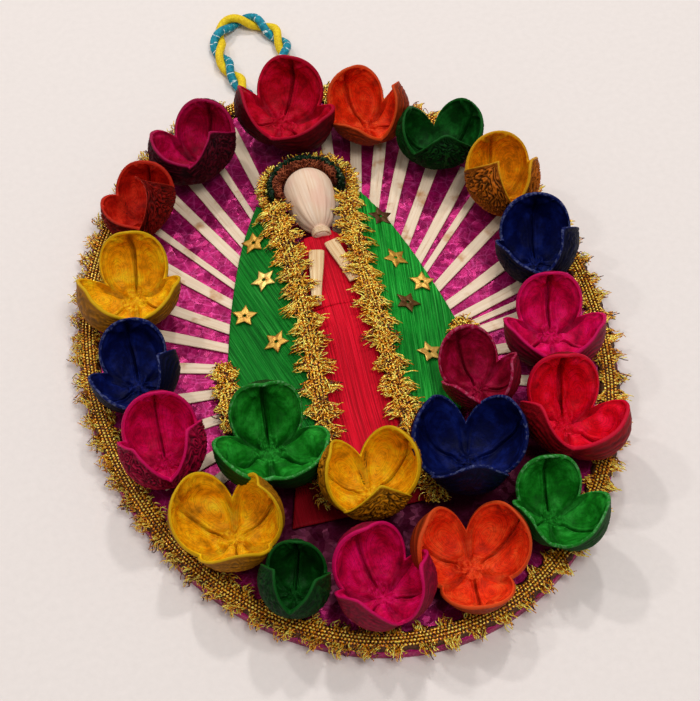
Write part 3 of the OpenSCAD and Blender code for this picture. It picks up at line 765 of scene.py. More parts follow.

# %% Mantle
# outer edge, front edge, lean of the fibres and how much darker the whole sheet is, partly from more dye and
# partly painted shade
MANTLE = {
    "mantle_left": ([[-18, 60.5], [-36, 36], [-48, -34]], [[-13, 57], [-9.8, 8], [-19, -60]], 15, 0.5),
    "mantle_right": ([[20, 58.5], [33.5, 40], [41.5, -20]], [[14, 56], [8.5, 8], [13, -66]], -8, 0.0),
}
MANTLE_RIB = 0.36
# where a second strip of husk lies on the first: a step up beyond a slanting line, higher on the sheet
LAPS = {
    "mantle_left": lambda x, y: 0.35 * ease((-21.5 - 0.05 * y - x) / 0.6) * ease((y - 30) / 12),
    "mantle_right": lambda x, y: 0.6 * ease((x - 19.6 - 0.02 * (45 - y)) / 0.6) * ease((y - 16) / 14),
}
across = np.linspace(0, 1, 84)[:, None]
down = np.linspace(0, 1, 160)
for seed, (node, (edge, front, lean, dye_and_painted_shade)) in enumerate(MANTLE.items()):
    plan = bezier(edge, down)[:, None] * (1 - across) + bezier(front, down)[:, None] * across
    sheet = husk_sheet(plan, mantle_low, lean, MANTLE_RIB, 30 + 3 * seed, lap=LAPS[node])
    sheet[3]["dye_and_painted_shade"] = dye_and_painted_shade
    make_piece(node + "_husk", sheet, green_husk, replaces=[node])

# %% Dress
# lower and upper end, rows and thickness; the hem is narrower on the right, and the collar has two peaks
DRESS_RIB, HEM_SHORT = 0.24, 5.0
DRESS = {"skirt": (HEM_Y + HEM_SHORT, SEAM_Y, 120, 1.0), "bodice": (SEAM_Y + 0.4, CHEST_Y, 50, 0.6)}
for seed, (node, (low_y, high_y, rows, thick)) in enumerate(DRESS.items()):
    y = np.linspace(low_y, high_y, rows)[:, None]
    share = np.linspace(-1, 1, 120)
    x = skirt_half(y) * share * (1 - 0.5 * ease((-42 - y) / 22) * (share > 0))
    collar = 3.0 * np.exp(-(((share - 0.45) / 0.3) ** 2)) + 1.6 * np.exp(-(((share + 0.45) / 0.3) ** 2))
    plan = np.stack([x, y + collar * ease((y - 32) / 6)], -1)
    sheet = husk_sheet(plan, dress_low, 0, DRESS_RIB, 40 + 3 * seed, thick)
    make_piece(node + "_husk", sheet, red_husk, replaces=[node])

# %% [markdown]
# ## Head, hands and hair
#
# The head is a ball wrapped in pale husk that is gathered below the chin and tied with thread. It has no
# face. Two flattened rolls of husk stand for the forearms, curled corn silk makes the hair, and a dark
# green strip edges the hood. The head is a profile turned round its own axis, with pleats that deepen
# towards the tie, and the hair is a crowd of small helices.

# %% Head
HEAD_AT = np.array([1.0, 58.9])
HEAD_R, NECK_R, CHIN, EGG_L = 9.0, 2.7, -17.4, 18.2
HEAD_Z = Z_STRAW + LAYER_GAP + HEAD_R
NECK_END = CHEST_Y + LAYER_GAP - HEAD_AT[1]
head = Finish("head_skin", roughness=0.55, specular=0.15)
streak = head.streaks(9.0, 0.05, detail=6, rough=0.7)
vein = head.streaks(3.6, 0.03, detail=2)
flush = head.noise(90, detail=2)
cream = head.ramp(streak, (0.24, (0.68, 0.49, 0.38)), (0.40, (0.90, 0.76, 0.64)), (0.72, (0.95, 0.86, 0.77)))
warm = head.mix(0.5, cream, paint((0.91, 0.70, 0.62)))
head.colour(head.mix(head.band(flush, 0.48, 0.7), cream, warm))
head.rough(streak, 0.62, 0.48).bump((vein, 0.20), (streak, 0.12))


def head_surface(cols=180, rows=96):
    """Egg round the head's axis: a sphere above its widest line, half an ellipse below it that ends in the
    neck, with pleats that deepen towards the tie."""
    up = np.linspace(NECK_END, HEAD_R, rows)
    up = np.sort(np.concatenate([up[:-1], HEAD_R * np.sin(np.linspace(1.2, 1.54, 8))]))
    ball = np.sqrt(np.maximum(0, HEAD_R**2 - up**2))
    below = np.maximum(NECK_R, HEAD_R * np.sqrt(np.maximum(0, 1 - (up / EGG_L) ** 2)))
    egg = np.where(up > 0, ball, below)
    a = -np.pi / 2 + 2 * np.pi * np.arange(cols) / cols
    gather = ease((-2 - up) / 13)[:, None]
    pleat = lattice_noise(np.arange(cols) * 34 / cols, up[:, None] * 0.03 + 9, 3, period=34) - 0.5
    fine = lattice_noise(np.arange(cols) * 60 / cols, up[:, None] * 0.05 + 3, 4, period=60) - 0.5
    r = egg[:, None] * (1 + gather * (0.12 * pleat + 0.06 * fine) + 0.008 * fine)
    x, z = r * np.cos(a), r * np.sin(a)
    y = np.broadcast_to(up[:, None], x.shape)
    points = np.stack([HEAD_AT[0] + x, HEAD_AT[1] + y, HEAD_Z + z], -1).reshape(-1, 3)
    poles = np.array([[HEAD_AT[0], HEAD_AT[1] + NECK_END, HEAD_Z], [HEAD_AT[0], HEAD_AT[1] + HEAD_R, HEAD_Z]])
    quads = grid_quads(len(up), cols, round_cols=True)[:, ::-1]
    across = np.concatenate([np.tile(np.arange(cols) * 2 * np.pi / cols, len(up)), [0, 0]])
    along = np.concatenate([np.repeat(up, cols), [NECK_END, HEAD_R]])
    return np.vstack([points, poles]), quads, pole_fans(len(up), cols), {"across": across, "along": along}


make_piece("head_ball", head_surface(), head, replaces=["head_husk"])

# %% Neck tie
thread = speckled("pale_thread", 1300, 4, (0.3, (0.80, 0.64, 0.49)), (0.7, (0.94, 0.83, 0.70)), 0.12,
                  roughness=0.7, specular=0.1)


def thread_wraps(turns=4, steps_per_turn=40):
    """A thread wound round the neck: a helix of the neck's radius about the head's axis."""
    t = np.linspace(0, turns, turns * steps_per_turn)
    a = 2 * np.pi * t
    r = NECK_R + 0.30 + 0.10 * np.sin(3.1 * a)
    y = HEAD_AT[1] + (CHIN + NECK_END) / 2 + (t - turns / 2) * 0.62
    path = np.stack([HEAD_AT[0] + r * np.cos(a), y, HEAD_Z + r * np.sin(a)], 1)
    return tubes(path[None], 0.42, 0.46, 8, up=(0, 1, 0))


make_piece("neck_thread", thread_wraps(), thread, replaces=["neck_tie"])

# %% Forearms
ARMS = {
    "forearm_left": ([-2.8, 30.6], [-8.0, 8.8], 2.75, 1.7),
    "forearm_right": ([3.0, 33.6], [7.4, 16.0], 2.5, 2.0),
}
ARM_T = 0.95


def forearm(hand, elbow, hand_half, elbow_half, steps=30, sides=22):
    """A flattened roll: a boxy ring carried from hand to elbow over the bodice, narrowing to the elbow."""
    t = np.linspace(0, 1, steps)
    plan = np.array(hand) * (1 - t[:, None]) + np.array(elbow) * t[:, None]
    z = dress_low(plan[:, 0], plan[:, 1]) + HUSK_T + LAYER_GAP + ARM_T
    half = hand_half + (elbow_half - hand_half) * t + 0.10 * np.sin(7 * t)
    points, quads, tris, marks = tubes(flat(plan, z)[None], half, ARM_T * (1 - 0.3 * t), sides, boxy=0.7)
    around = np.tile(np.arange(sides) * 0.55, steps)
    points[: len(around)] += 0.05 * np.sin(around * 9)[:, None] * [0, 0, 1]
    marks["across"] = np.concatenate([around, [0, 0]])
    return points, quads, tris, marks


for node, arm in ARMS.items():
    make_piece(node + "_roll", forearm(*arm), natural_husk, replaces=[node])

# %% Hair
HOOD_AT = np.array([1.0, 62.0])
HAIR_R, HAIR_T = HEAD_R + 1.9, 3.2
HAIR_NEAR, HAIR_FAR, CURL_R = 9.9, 12.0, 0.25
silk = Finish("corn_silk", roughness=0.6, specular=0.15)
silk.colour(silk.ramp(silk.mark("tone"), (0.0, (0.20, 0.06, 0.03)), (0.6, (0.48, 0.20, 0.11)),
                      (1.0, (0.68, 0.36, 0.22))))
silk.bump((silk.noise(1500), 0.08))


def on_arch(angle, radius, height):
    """Points round the hood's middle: angle 0 is at its right, 90 at its crown."""
    return np.stack(np.broadcast_arrays(
        HOOD_AT[0] + radius * np.cos(angle), HOOD_AT[1] + radius * np.sin(angle), height), -1)


def hair_curls(count=520, steps=16, sides=3, seed=12):
    """Small helices that follow the arch: arch point + curl radius * (cos, sin) of two turns or so."""
    rng = np.random.default_rng(seed)
    t = np.linspace(0, 1, steps)
    middle = np.radians(rng.uniform(12, 200, (count, 1)))
    sweep = rng.uniform(0.2, 0.42, (count, 1)) * rng.choice([-1, 1], (count, 1))
    phase = 2 * np.pi * rng.uniform(1.2, 2.4, (count, 1)) * t + rng.uniform(0, 6, (count, 1))
    curl = rng.uniform(0.35, 0.75, (count, 1))
    crown = np.clip(np.sin(middle), 0, 1) ** 2
    nearest, widest = HAIR_NEAR - 1.9 * crown, HAIR_FAR - 1.3 * crown
    radius = nearest + (widest - nearest) * rng.random((count, 1)) + curl * np.cos(phase)
    height = HEAD_Z + 0.2 + rng.uniform(-3.4, 2.4, (count, 1)) + curl * np.sin(phase)
    centres = on_arch(middle + sweep * (t - 0.5), radius, height)
    thin = CURL_R * np.sqrt(np.sin(np.pi * np.clip(t, 0.04, 0.96)))
    tone = on_threads(rng.uniform(0.25, 1, count), steps, sides)
    return marked(tubes(centres, thin, thin, sides), tone=tone)


make_piece("hair_curls", hair_curls(), silk, replaces=["hair"])

# %% The mass under the curls
def hair_pad(steps=120, sides=18, seed=14):
    """A lumpy roll along the arch, thicker at the crown, that fills the gaps between the curls."""
    a = np.radians(np.linspace(2, 196, steps))
    lump = 1 + 0.16 * (lattice_noise(a * 9 + 20, np.full(steps, 3.0), seed) - 0.5)
    ends = np.sqrt(np.sin(np.pi * np.clip(np.linspace(0, 1, steps), 0.004, 0.996))) ** 0.3
    crown = np.clip(np.sin(a), 0, 1) ** 2
    centres = on_arch(a, HAIR_R - 0.9 * crown, np.full(steps, HEAD_Z - 2.2))[None]
    half = lump * ends
    return marked(tubes(centres, (1.1 + 0.9 * crown) * half, 2.3 * half, sides), tone=0.15)


make_piece("hair_pad", hair_pad(), silk)

# %% Hood edge
HOOD_R, HOOD_H = HAIR_R + HAIR_T / 2 + LAYER_GAP, 10.0
dark_green = Finish("dark_green_husk", roughness=0.5, specular=0.2)
crush = dark_green.noise(800, detail=4, rough=0.6)
fleck = dark_green.noise(1500, detail=2)
shade = dark_green.ramp(crush, (0.3, (0.01, 0.05, 0.03)), (0.55, (0.03, 0.17, 0.09)),
                        (0.8, (0.12, 0.32, 0.18)))
dark_green.colour(dark_green.mix(dark_green.band(fleck, 0.62, 0.70), shade, paint((0.62, 0.66, 0.50))))
dark_green.rough(crush, 0.3, 0.6).bump((crush, 0.35))


def hood_band(steps=240, sides=30, seed=16):
    """A crumpled strip on edge: an upright oval ring along the arch, pushed in and out by noise."""
    a = np.radians(np.linspace(-4, 186, steps))
    centres = on_arch(a, HOOD_R + 0.2, np.full(steps, Z_STRAW + LAYER_GAP + HOOD_H / 2 + 0.5))[None]
    points, quads, tris, marks = tubes(centres, 1.25, HOOD_H / 2 + 0.4, sides)
    k = np.arange(steps * sides)
    crumple = lattice_noise(k // sides * 0.35, k % sides * 0.5 + 4, seed) - 0.5
    outward = unit(points[: len(k), :2] - HOOD_AT)
    points[: len(k), :2] += outward * crumple[:, None] * 1.5
    points[: len(k), 2] += (lattice_noise(k // sides * 0.45, np.full(len(k), 7.0), seed + 1) - 0.5) * 1.8
    return points, quads, tris, marks


make_piece("hood_edge", hood_band(), dark_green, replaces=["hood"])

# %% [markdown]
# ## Gold braid
#
# The trim is woven from metal-wrapped thread: rows of fine chain along the middle, and tufts of loops and
# cut ends that spread from both sides. Hair particles could make the tufts, but they would not be part of
# the mesh, so every thread is a thin tube of its own, thousands in one array. A dark woven strip
# lies underneath, which is what shows between the threads.

# %% Gold finishes
gold = Finish("gold_thread", roughness=0.26, metallic=0.25, specular=0.5)
speck = gold.noise(1350, detail=2)
# painted glints: fine noise lifts specks of each thread to the pale top of the ramp; the thread's tone itself
# varies at random
painted_glint = gold.times(gold.plus(speck, -0.5), 2.8)
tone_and_painted_glint = gold.plus(gold.mark("tone"), painted_glint)
gold.colour(gold.ramp(tone_and_painted_glint, (0.0, (0.12, 0.03, 0.0)), (0.36, (0.58, 0.25, 0.0)), (0.62, (1.0, 0.60, 0.01)),
                      (0.84, (1.0, 0.76, 0.09)), (1.0, (1.0, 0.94, 0.44))))
gold.rough(speck, 0.16, 0.36).bump((speck, 0.1))

braid_ground = speckled("braid_ground", 1500, 3, (0.3, (0.14, 0.05, 0.0)), (0.75, (0.44, 0.23, 0.02)), 0.2,
                        roughness=0.7)

# %% Threads, chains and tufts
BEAD = 1.15
DARK_THREADS = 0.3
THREAD_UP = (0.1, 0.2, 1)


def chain_rows(rows, closed=False, radius=0.5, sides=5, seed=1, shade=0.0):
    """Rows of fine chain: tubes whose radius swells once for each stitch, as 0.68 + 0.32 |cos|."""
    rng = np.random.default_rng(seed)
    phase = np.pi * run(rows[0]) / BEAD + np.arange(len(rows))[:, None] * 1.3
    stitch = 0.68 + 0.32 * np.abs(np.cos(phase))
    shape = tubes(rows, radius * stitch, radius * stitch, sides, closed)
    glint = rng.normal(0, 0.16, stitch.shape) - 0.12 * (np.arange(len(rows)) % 3 == 0)[:, None]
    # painted highlight and shade: each stitch lighter where it swells and darker where it narrows, with a
    # random tone on top
    tone = np.clip(np.repeat((1.1 * (stitch - 0.68) / 0.32 + glint).ravel(), sides), 0, 1.3)
    tone = np.concatenate([tone, np.full(len(shape[0]) - len(tone), 0.4)])
    return marked(shape, tone=tone - shade)


def tuft_loops(base, out, reach, width, rise, steps=9, sides=3, thick=0.17, seed=2):
    """Thread loops, one per base point: base + reach sin(pi t) out - width/2 cos(pi t) side
    + rise sin(pi t) up, where side is square to out in the plan."""
    rng = np.random.default_rng(seed)
    t = np.linspace(0, 1, steps)
    bow, sway = np.sin(np.pi * t), -np.cos(np.pi * t) / 2
    side = flat(left_of(unit(out * [1, 1, 0])), 0.0)
    lean = rng.normal(0, 0.2, (len(base), 1))
    centres = (base[:, None] + out[:, None] * (reach[:, None] * bow)[..., None]
               + side[:, None] * (width[:, None] * sway + lean * reach[:, None] * bow)[..., None])
    centres[..., 2] += rise[:, None] * bow
    tone = on_threads(rng.uniform(0.5, 1.2, len(base)), steps, sides)
    return marked(tubes(centres, thick, thick * 0.8, sides, up=THREAD_UP), tone=tone)


def brush(base, tip, rise, curl=0.4, turns=0.8, steps=6, sides=4, wide=0.27, seed=3):
    """Flat thread ends: straight from base to tip, lifted by rise * (t + 1.2 t (1 - t)), narrowing at the
    tip. curl and turns wind a strand sideways and up as a small helix that opens towards its tip."""
    rng = np.random.default_rng(seed)
    t = np.linspace(0, 1, steps)
    square = flat(left_of(unit(tip - base)), 0.0)
    phase = 2 * np.pi * turns * t + rng.uniform(0, 6.28, (len(base), 1))
    wind = np.asarray(curl) * ease(t * 1.6) * np.ones((len(base), 1))
    centres = base[:, None] + (tip - base)[:, None] * t[:, None]
    centres = centres + square[:, None] * (wind * np.cos(phase))[..., None]
    centres[..., 2] += rise[:, None] * (t + 1.2 * t * (1 - t)) + wind * np.sin(phase)
    taper = wide * (1 - 0.3 * t**3)
    # tone at random from thread to thread; the darkest threads also stand in for the shade between threads,
    # painted shade
    dark = rng.random(len(base)) < DARK_THREADS
    tone = np.where(dark, rng.uniform(0, 0.45, len(base)), rng.uniform(0.6, 1.2, len(base)))
    # painted shade: each thread darker near its root
    tone = tone[:, None] * (1 - 0.35 * (1 - ease(t * 2.5)))
    tone = np.concatenate([np.repeat(tone.ravel(), sides), tone[:, [0, -1]].ravel()])
    return marked(tubes(centres, taper, taper * 0.45, sides, up=THREAD_UP), tone=tone)


def tuft_shape(tufts, each, seed):
    """Places in a row of tufts: each strand's tuft number and q, from -1 to 1 across its own tuft, and the
    random numbers that the tufts go on with."""
    rng = np.random.default_rng(seed)
    q = (np.arange(tufts * each) % each + 0.5) / each * 2 - 1 + rng.normal(0, 0.06, tufts * each)
    return np.arange(tufts * each) // each, q, rng


def join(parts):
    """Several toned shapes as one."""
    counts = np.cumsum([0] + [len(p[0]) for p in parts])
    points = np.concatenate([p[0] for p in parts])
    quads, tris = (np.concatenate([p[k] + n for p, n in zip(parts, counts)]) for k in (1, 2))
    return points, quads, tris, {"tone": np.concatenate([p[3]["tone"] for p in parts])}


print("thread helpers ready")

# %% Rim braid
BRAID_INSET, BRAID_W, BRAID_SHADE = 3.0, 4.4, 0.16
RIM_TUFTS = 76


def rim_line(count, along=0.0):
    """Points at even distances along the braid's middle, shifted along it (in tufts), and the way out."""
    a = np.linspace(0, 4 * np.pi, 8001)
    half = np.array([RIM_A, RIM_B]) - BRAID_INSET
    twice_round = half * np.stack([np.cos(a), np.sin(a)], 1)
    share = np.arange(count) / count + along / RIM_TUFTS + 0.25
    even = at_distances(twice_round, share * run(twice_round)[-1] / 2)
    return even, unit(even / half**2)


def rim_chain():
    """Four rows of chain round the rim, the middle ones a little higher."""
    line, out = rim_line(2200)
    grow = np.array([-1.72, -0.58, 0.58, 1.72])[:, None]
    rows = flat(line + out * grow[..., None], Z_FOIL + 1.25 + 0.25 * (1 - np.abs(grow) / 2))
    return chain_rows(rows, closed=True, shade=BRAID_SHADE)


make_piece("rim_chain", rim_chain(), gold, replaces=["rim_braid"])

# %% Fringe of the rim braid
LOOP_CLEAR, LOOSE_LEFT, LOOSE_SHARE = (-15.4, 10.4), -20, 0.1
# piece, side, longest thread and threads in a tuft
FRINGES = (("rim_fringe_outer", 1, 6.0, 34), ("rim_fringe_inner", -1, 4.8, 22))


def rim_tufts(reach, each, sense, curly, seed):
    """Tufts along one side of the braid: a row of small brushes, longest in the middle of each. On the left
    the threads have come loose and curl. Beside the loop they are short."""
    number, q, rng = tuft_shape(RIM_TUFTS, each, seed)
    count = len(q)
    middle, out = (v[number] for v in rim_line(RIM_TUFTS, 0.5))
    side = left_of(out)
    lean = rng.normal(0, 0.8, RIM_TUFTS)[number] + rng.normal(0, 0.5, count)
    loose = (middle[:, 0] < LOOSE_LEFT) | (rng.random(count) < LOOSE_SHARE)
    long = reach * (1 - 0.55 * np.abs(q) ** 1.3) * rng.uniform(0.45, 1.08, count)
    x, y = middle.T
    at_loop = (y > 0) & (x > LOOP_CLEAR[0]) & (x < LOOP_CLEAR[1]) & (sense > 0)
    long = long * np.where(at_loop, 0.25, 1)
    edge = BRAID_W / 2 - 0.7
    root = np.where(loose, rng.uniform(1.1, 2.4, count), edge)
    base = middle + side * (q * 3.3)[:, None] + sense * out * root[:, None]
    spread = q * np.where(loose, 3.4, 1.7) + lean
    tip = middle + side * spread[:, None] + sense * out * (edge + long)[:, None]
    keep = loose == curly
    base, tip = flat(base, Z_FOIL + 0.9 + 0.3 * loose)[keep], flat(tip, Z_FOIL + 0.6)[keep]
    base[:, 2] += rng.uniform(-0.3, 0.5, len(base))
    rise = rng.uniform(-0.5, 1.3, len(base))
    if not curly:
        return brush(base, tip, rise, seed=seed)
    curl, turns = rng.uniform(0.5, 1.2, (len(base), 1)), rng.uniform(0.7, 1.4, (len(base), 1))
    return brush(base, tip, rise, curl, turns, steps=11, sides=3, wide=0.24, seed=seed)


for name, sense, reach, each in FRINGES:
    fringe = join([rim_tufts(reach, each, sense, curly, 50 + sense) for curly in (False, True)])
    make_piece(name, fringe, gold)

# %% Woven strip under the rim braid
def rim_ground(cols=600, seed=54):
    """The woven strip under the chains: a low arch of a profile carried round the oval."""
    line, out = rim_line(cols)
    ragged = lattice_noise(np.arange(cols) * 0.9, np.full(cols, 2.0), seed, period=540)
    still = np.zeros(cols)
    grow = np.stack([-3.0 - ragged, still - 2.4, still + 2.4, 2.8 + ragged, still + 2.0, still - 2.0])
    z = Z_FOIL + np.array([0.1, 0.95, 0.95, 0.1, 0.05, 0.05])
    points = flat(line + out * grow[..., None], z[:, None]).reshape(-1, 3)
    return points, grid_quads(6, cols, True, True)[:, ::-1], NO_TRIANGLES, {}


make_piece("rim_ground", rim_ground(), braid_ground)

# %% Chain of the robe's trim
# curve and size of the tufts
TRIMS = {
    "mantle_trim_left": (MANTLE["mantle_left"][1], 1.0),
    "mantle_trim_right": (MANTLE["mantle_right"][1], 1.0),
    "hem_trim_left": ([[-43, -2], [-45.3, -16], [-45.3, -30]], 0.65),
    "hem_trim_right": ([[39, -3], [40.5, -9], [40.5, -17]], 0.65),
}


def on_trim(curve, t, grow, lift):
    """Points at the shares t of a trim's curve, grow to its left, and lift above what the trim lies on."""
    p = bezier(curve, t) + bezier_left(curve, t) * np.broadcast_to(grow, len(t))[:, None]
    return flat(p, trim_low(p[:, 0], p[:, 1]) + lift)


def starts_at_head(curve):
    """Whether a trim is one of the two long ones, which start beside the head."""
    return curve[0][1] > 50


def trim_chain(curve, length, seed):
    """Four rows of chain along a trim, and the short threads that lie loose on them."""
    t = np.linspace(0, 1, int(length * 4 / BEAD))
    rows = [on_trim(curve, t, g, 1.05 - 0.08 * abs(g)) for g in (-1.74, -0.58, 0.58, 1.74)]
    rng = np.random.default_rng(seed)
    count = int(length * 6.5)
    at, grow = rng.random(count), rng.uniform(-2.6, 2.6, count)
    to = np.clip(at + rng.normal(0, 1.6, count) / length, 0, 1)
    tip = on_trim(curve, to, grow + rng.normal(0, 1.8, count), 1.5)
    loose = brush(on_trim(curve, at, grow, 1.15), tip, rng.uniform(0, 0.6, count), 0.3, 0.8, seed=seed + 3)
    return [chain_rows(np.stack(rows), radius=0.46, seed=seed), loose]


trim_length = {node: run(bezier(curve, np.linspace(0, 1, 200)))[-1] for node, (curve, _) in TRIMS.items()}
print("trims:", ", ".join(f"{node} {length:.0f} mm" for node, length in trim_length.items()))

# %% Tufts and frayed ends of the robe's trim
TRIM_PITCH, TRIM_EDGE = 7.8, 1.7
FRAY_COUNT, FRAY_SHORTEST, FRAY_LONGEST = 70, 2.0, 7.5


def trim_tufts(curve, length, size, sense, each, reach, loops, seed):
    """Triangular tufts of cut threads or of loops down one side of a trim, a little longer beside the head.
    Also returns the random numbers that a frayed end goes on with."""
    tufts = int(round(length / TRIM_PITCH))
    number, q, rng = tuft_shape(tufts, each, seed + sense + each)
    count = len(q)
    middle = (number + 0.5) / tufts + rng.normal(0, 0.09, tufts)[number] / tufts
    at = np.clip(middle + q * 3.0 / length, 0, 1)
    to = np.clip(middle + (q * 1.3 + 1.2 + rng.normal(0, 0.7, count)) / length, 0, 1)
    beside_head = (starts_at_head(curve) and sense * curve[0][0] > 0) & (middle < 0.17)
    grown = np.where(beside_head, 1.05, 1.0) * size * rng.uniform(0.8, 1.1, tufts)[number]
    long = reach * (1 - 0.36 * np.abs(q) ** 1.5) * rng.uniform(0.4, 1.07, count) * grown
    base = on_trim(curve, at, sense * TRIM_EDGE, 0.5 + rng.uniform(0, 0.5, count))
    tip = on_trim(curve, to, sense * (TRIM_EDGE + long), 0.3)
    rise = rng.uniform(-0.1, 1.5, count)
    if not loops:
        return brush(base, tip, rise, seed=seed + 2), rng
    far, width = np.linalg.norm(tip - base, axis=1), rng.uniform(0.5, 1.3, count)
    return tuft_loops(base, unit(tip - base), far, width, rise + 0.4, seed=seed + 1), rng


def frayed_end(curve, rng, seed):
    """Loose threads where a long trim was cut, spread about the way it runs."""
    way = unit(np.subtract(curve[2], curve[1]))
    swing = -0.5 if curve[0][0] < 0 else -0.15
    angle = math.atan2(way[1], way[0]) + rng.normal(swing, 0.5, FRAY_COUNT)
    base = on_trim(curve, np.ones(FRAY_COUNT), rng.uniform(-1.9, 1.9, FRAY_COUNT), 0.9)
    long = rng.uniform(FRAY_SHORTEST, FRAY_LONGEST, FRAY_COUNT)
    plan = base[:, :2] + np.stack([np.cos(angle), np.sin(angle)], 1) * long[:, None]
    tip = flat(plan, trim_low(plan[:, 0], plan[:, 1]) + 0.6)
    return brush(base, tip, rng.uniform(0.2, 1.6, FRAY_COUNT), 0.9, 1.2, steps=9, sides=3, seed=seed + 4)


print(f"tufts every {TRIM_PITCH} mm, {FRAY_COUNT} threads at a frayed end")

# %% The robe's trim
# threads in a tuft, their reach, and whether they are loops
TRIM_TUFTS = ((22, 6.4, False), (5, 4.8, True))


def trim_strip(curve, length, size, seed):
    """A gold trim along a curve: chain, tufts down both sides, and a frayed lower end on the long trims."""
    parts = trim_chain(curve, length, seed)
    for sense in (-1, 1):
        for each, reach, loops in TRIM_TUFTS:
            tufts, rng = trim_tufts(curve, length, size, sense, each, reach, loops, seed)
            parts.append(tufts)
    if starts_at_head(curve):
        parts.append(frayed_end(curve, rng, seed))
    return join(parts)


def trim_ground(curve, cols=160):
    """The woven strip under a trim: a low arch of a profile along the curve, closed at both ends."""
    grows, lifts = (-2.9, -2.2, 2.2, 2.9, 1.9, -1.9), (0.1, 0.65, 0.65, 0.1, 0.02, 0.02)
    t = np.linspace(0, 1, cols)
    points = np.concatenate([on_trim(curve, t, grow, lift) for grow, lift in zip(grows, lifts)])
    caps = np.array([[0, 1, 2, 3], [0, 3, 4, 5]]) * cols
    quads = np.concatenate([grid_quads(6, cols, round_rows=True), caps[:, ::-1], caps + cols - 1])
    return points, quads, NO_TRIANGLES, {}


for seed, (node, (curve, size)) in enumerate(TRIMS.items()):
    strip = trim_strip(curve, trim_length[node], size, 60 + 5 * seed)
    make_piece(node + "_gold", strip, gold, replaces=[node])
    make_piece(node + "_ground", trim_ground(curve), braid_ground)

# %% Trim round the hood
def hood_tufts(tries=900, seed=90):
    """Threads outside the hood: few and short on top, long at the sides, where the robe's trims come up."""
    rng = np.random.default_rng(seed)
    a = np.radians(rng.uniform(-30, 206, tries))
    share = np.clip(np.cos(a), 0, 1) ** 1.5 + 0.75 * np.clip(-np.cos(a), 0, 1) ** 3
    keep = rng.random(tries) < 0.10 + 0.9 * share
    a, share = a[keep], share[keep]
    count = len(a)
    radius = HOOD_R + 1.5 + rng.uniform(0, 1.6, count) * (0.3 + 0.7 * share)
    drop = np.where(np.sin(a) < 0, 3.0 * np.sin(a), 0)
    base = on_arch(a, radius, Z_STRAW + HOOD_H - 1.2 + drop + rng.uniform(-2.6, 0.6, count))
    turn = a + rng.normal(0, 0.55, count)
    reach = rng.uniform(0.8, 1.8, count) + 3.2 * share * rng.uniform(0.4, 1, count)
    tip = base + np.stack([reach * np.cos(turn), reach * np.sin(turn), rng.uniform(-0.6, 0.8, count)], 1)
    rise = rng.uniform(-0.2, 1.2, count)
    some = np.arange(count) % 4 == 0
    out = unit((tip - base) * [1, 1, 0])[some]
    loops = tuft_loops(base[some], out, reach[some], np.full(len(out), 0.9), rise[some], seed=seed + 2)
    return join([brush(base, tip, rise, 0.3, 0.7, seed=seed + 1), loops])


make_piece("hood_tufts", hood_tufts(), gold, replaces=["hood_trim"])

# %% [markdown]
# ## Star sequins
#
# Small stamped stars of metallised film, each with a hole in its middle, are glued to the mantle. A flat
# star polygon would look like paper. A stamped one is slightly domed and its points have soft ridges, so
# the star is a grid of angle and radius, closed over its top, edge and back.

# %% Stars
sequin = Finish("star_sequin", roughness=0.4, metallic=0.5)
scuff = sequin.noise(380, detail=4)
dull = sequin.ramp(sequin.mark("tone"), (0.0, (0.26, 0.14, 0.07)), (0.5, (0.80, 0.60, 0.21)),
                   (1.0, (0.98, 0.83, 0.45)))
sequin.colour(sequin.mix(sequin.band(scuff, 0.5, 0.7), dull, paint((0.80, 0.66, 0.48)), "MULTIPLY"))
sequin.rough(scuff, 0.5, 0.3).bump((scuff, 0.06))
STAR_R, STAR_INNER_R, STAR_HOLE_R, STAR_T = 4.6, 2.3, 0.6, 0.4
# place, turn and how bright each star still is
STARS = {
    "star_sequins_left": [[-22.5, 45, 10, 0.45], [-22.5, 28, 30, 1.0], [-32, 16, 0, 0.6],
                          [-24, 1.5, 50, 0.55]],
    "star_sequins_right": [[24.5, 46.5, 20, 0.05], [25, 27, 40, 0.5], [31.5, 15.5, 5, 0.6],
                           [24, 7, 60, 0.08], [26, -14.5, 25, 0.7]],
}


def star_outline(a):
    """Distance to the edge of a five-pointed star: straight lines from its points to its inner corners."""
    tenth = np.pi / 5
    b = np.abs((a + tenth) % (2 * tenth) - tenth)
    x, y = STAR_INNER_R * np.cos(tenth), STAR_INNER_R * np.sin(tenth)
    return STAR_R * y / (y * np.cos(b) + (STAR_R - x) * np.sin(b))


def star_shapes(places, cols=80, rings=6):
    """Closed stars: rings from the hole to the edge on top and back again below, tilted to the mantle."""
    a = 2 * np.pi * np.arange(cols) / cols
    s = np.linspace(0, 1, rings)
    share = np.concatenate([s, s[::-1]])
    r = STAR_HOLE_R + (star_outline(a) - STAR_HOLE_R) * share[:, None]
    dome = 0.12 * (1 - share**2)[:, None] + 0.05 * np.cos(5 * a) * (share * (1 - share) * 4)[:, None]
    z = dome + np.where(np.arange(2 * rings) < rings, STAR_T, 0.0)[:, None]
    all_points = []
    for x, y, turn, _ in places:
        b = a + math.radians(turn)
        lx, ly = r * np.cos(b), r * np.sin(b)
        slope = (mantle_low(x + 1, y) - mantle_low(x - 1, y)) / 2
        drop = (mantle_low(x, y + 1) - mantle_low(x, y - 1)) / 2
        base = mantle_low(x, y) + HUSK_T + 2 * LAYER_GAP
        all_points.append(np.stack([x + lx, y + ly, base + slope * lx + drop * ly + z], -1).reshape(-1, 3))
    size = 2 * rings * cols
    one = grid_quads(2 * rings, cols, True, True)[:, ::-1]
    quads = np.concatenate([one + k * size for k in range(len(places))])
    tone = np.repeat([place[3] for place in places], size)
    return np.concatenate(all_points), quads, NO_TRIANGLES, {"tone": tone}


for node, places in STARS.items():
    make_piece(node + "_stamped", star_shapes(places), sequin, replaces=[node])
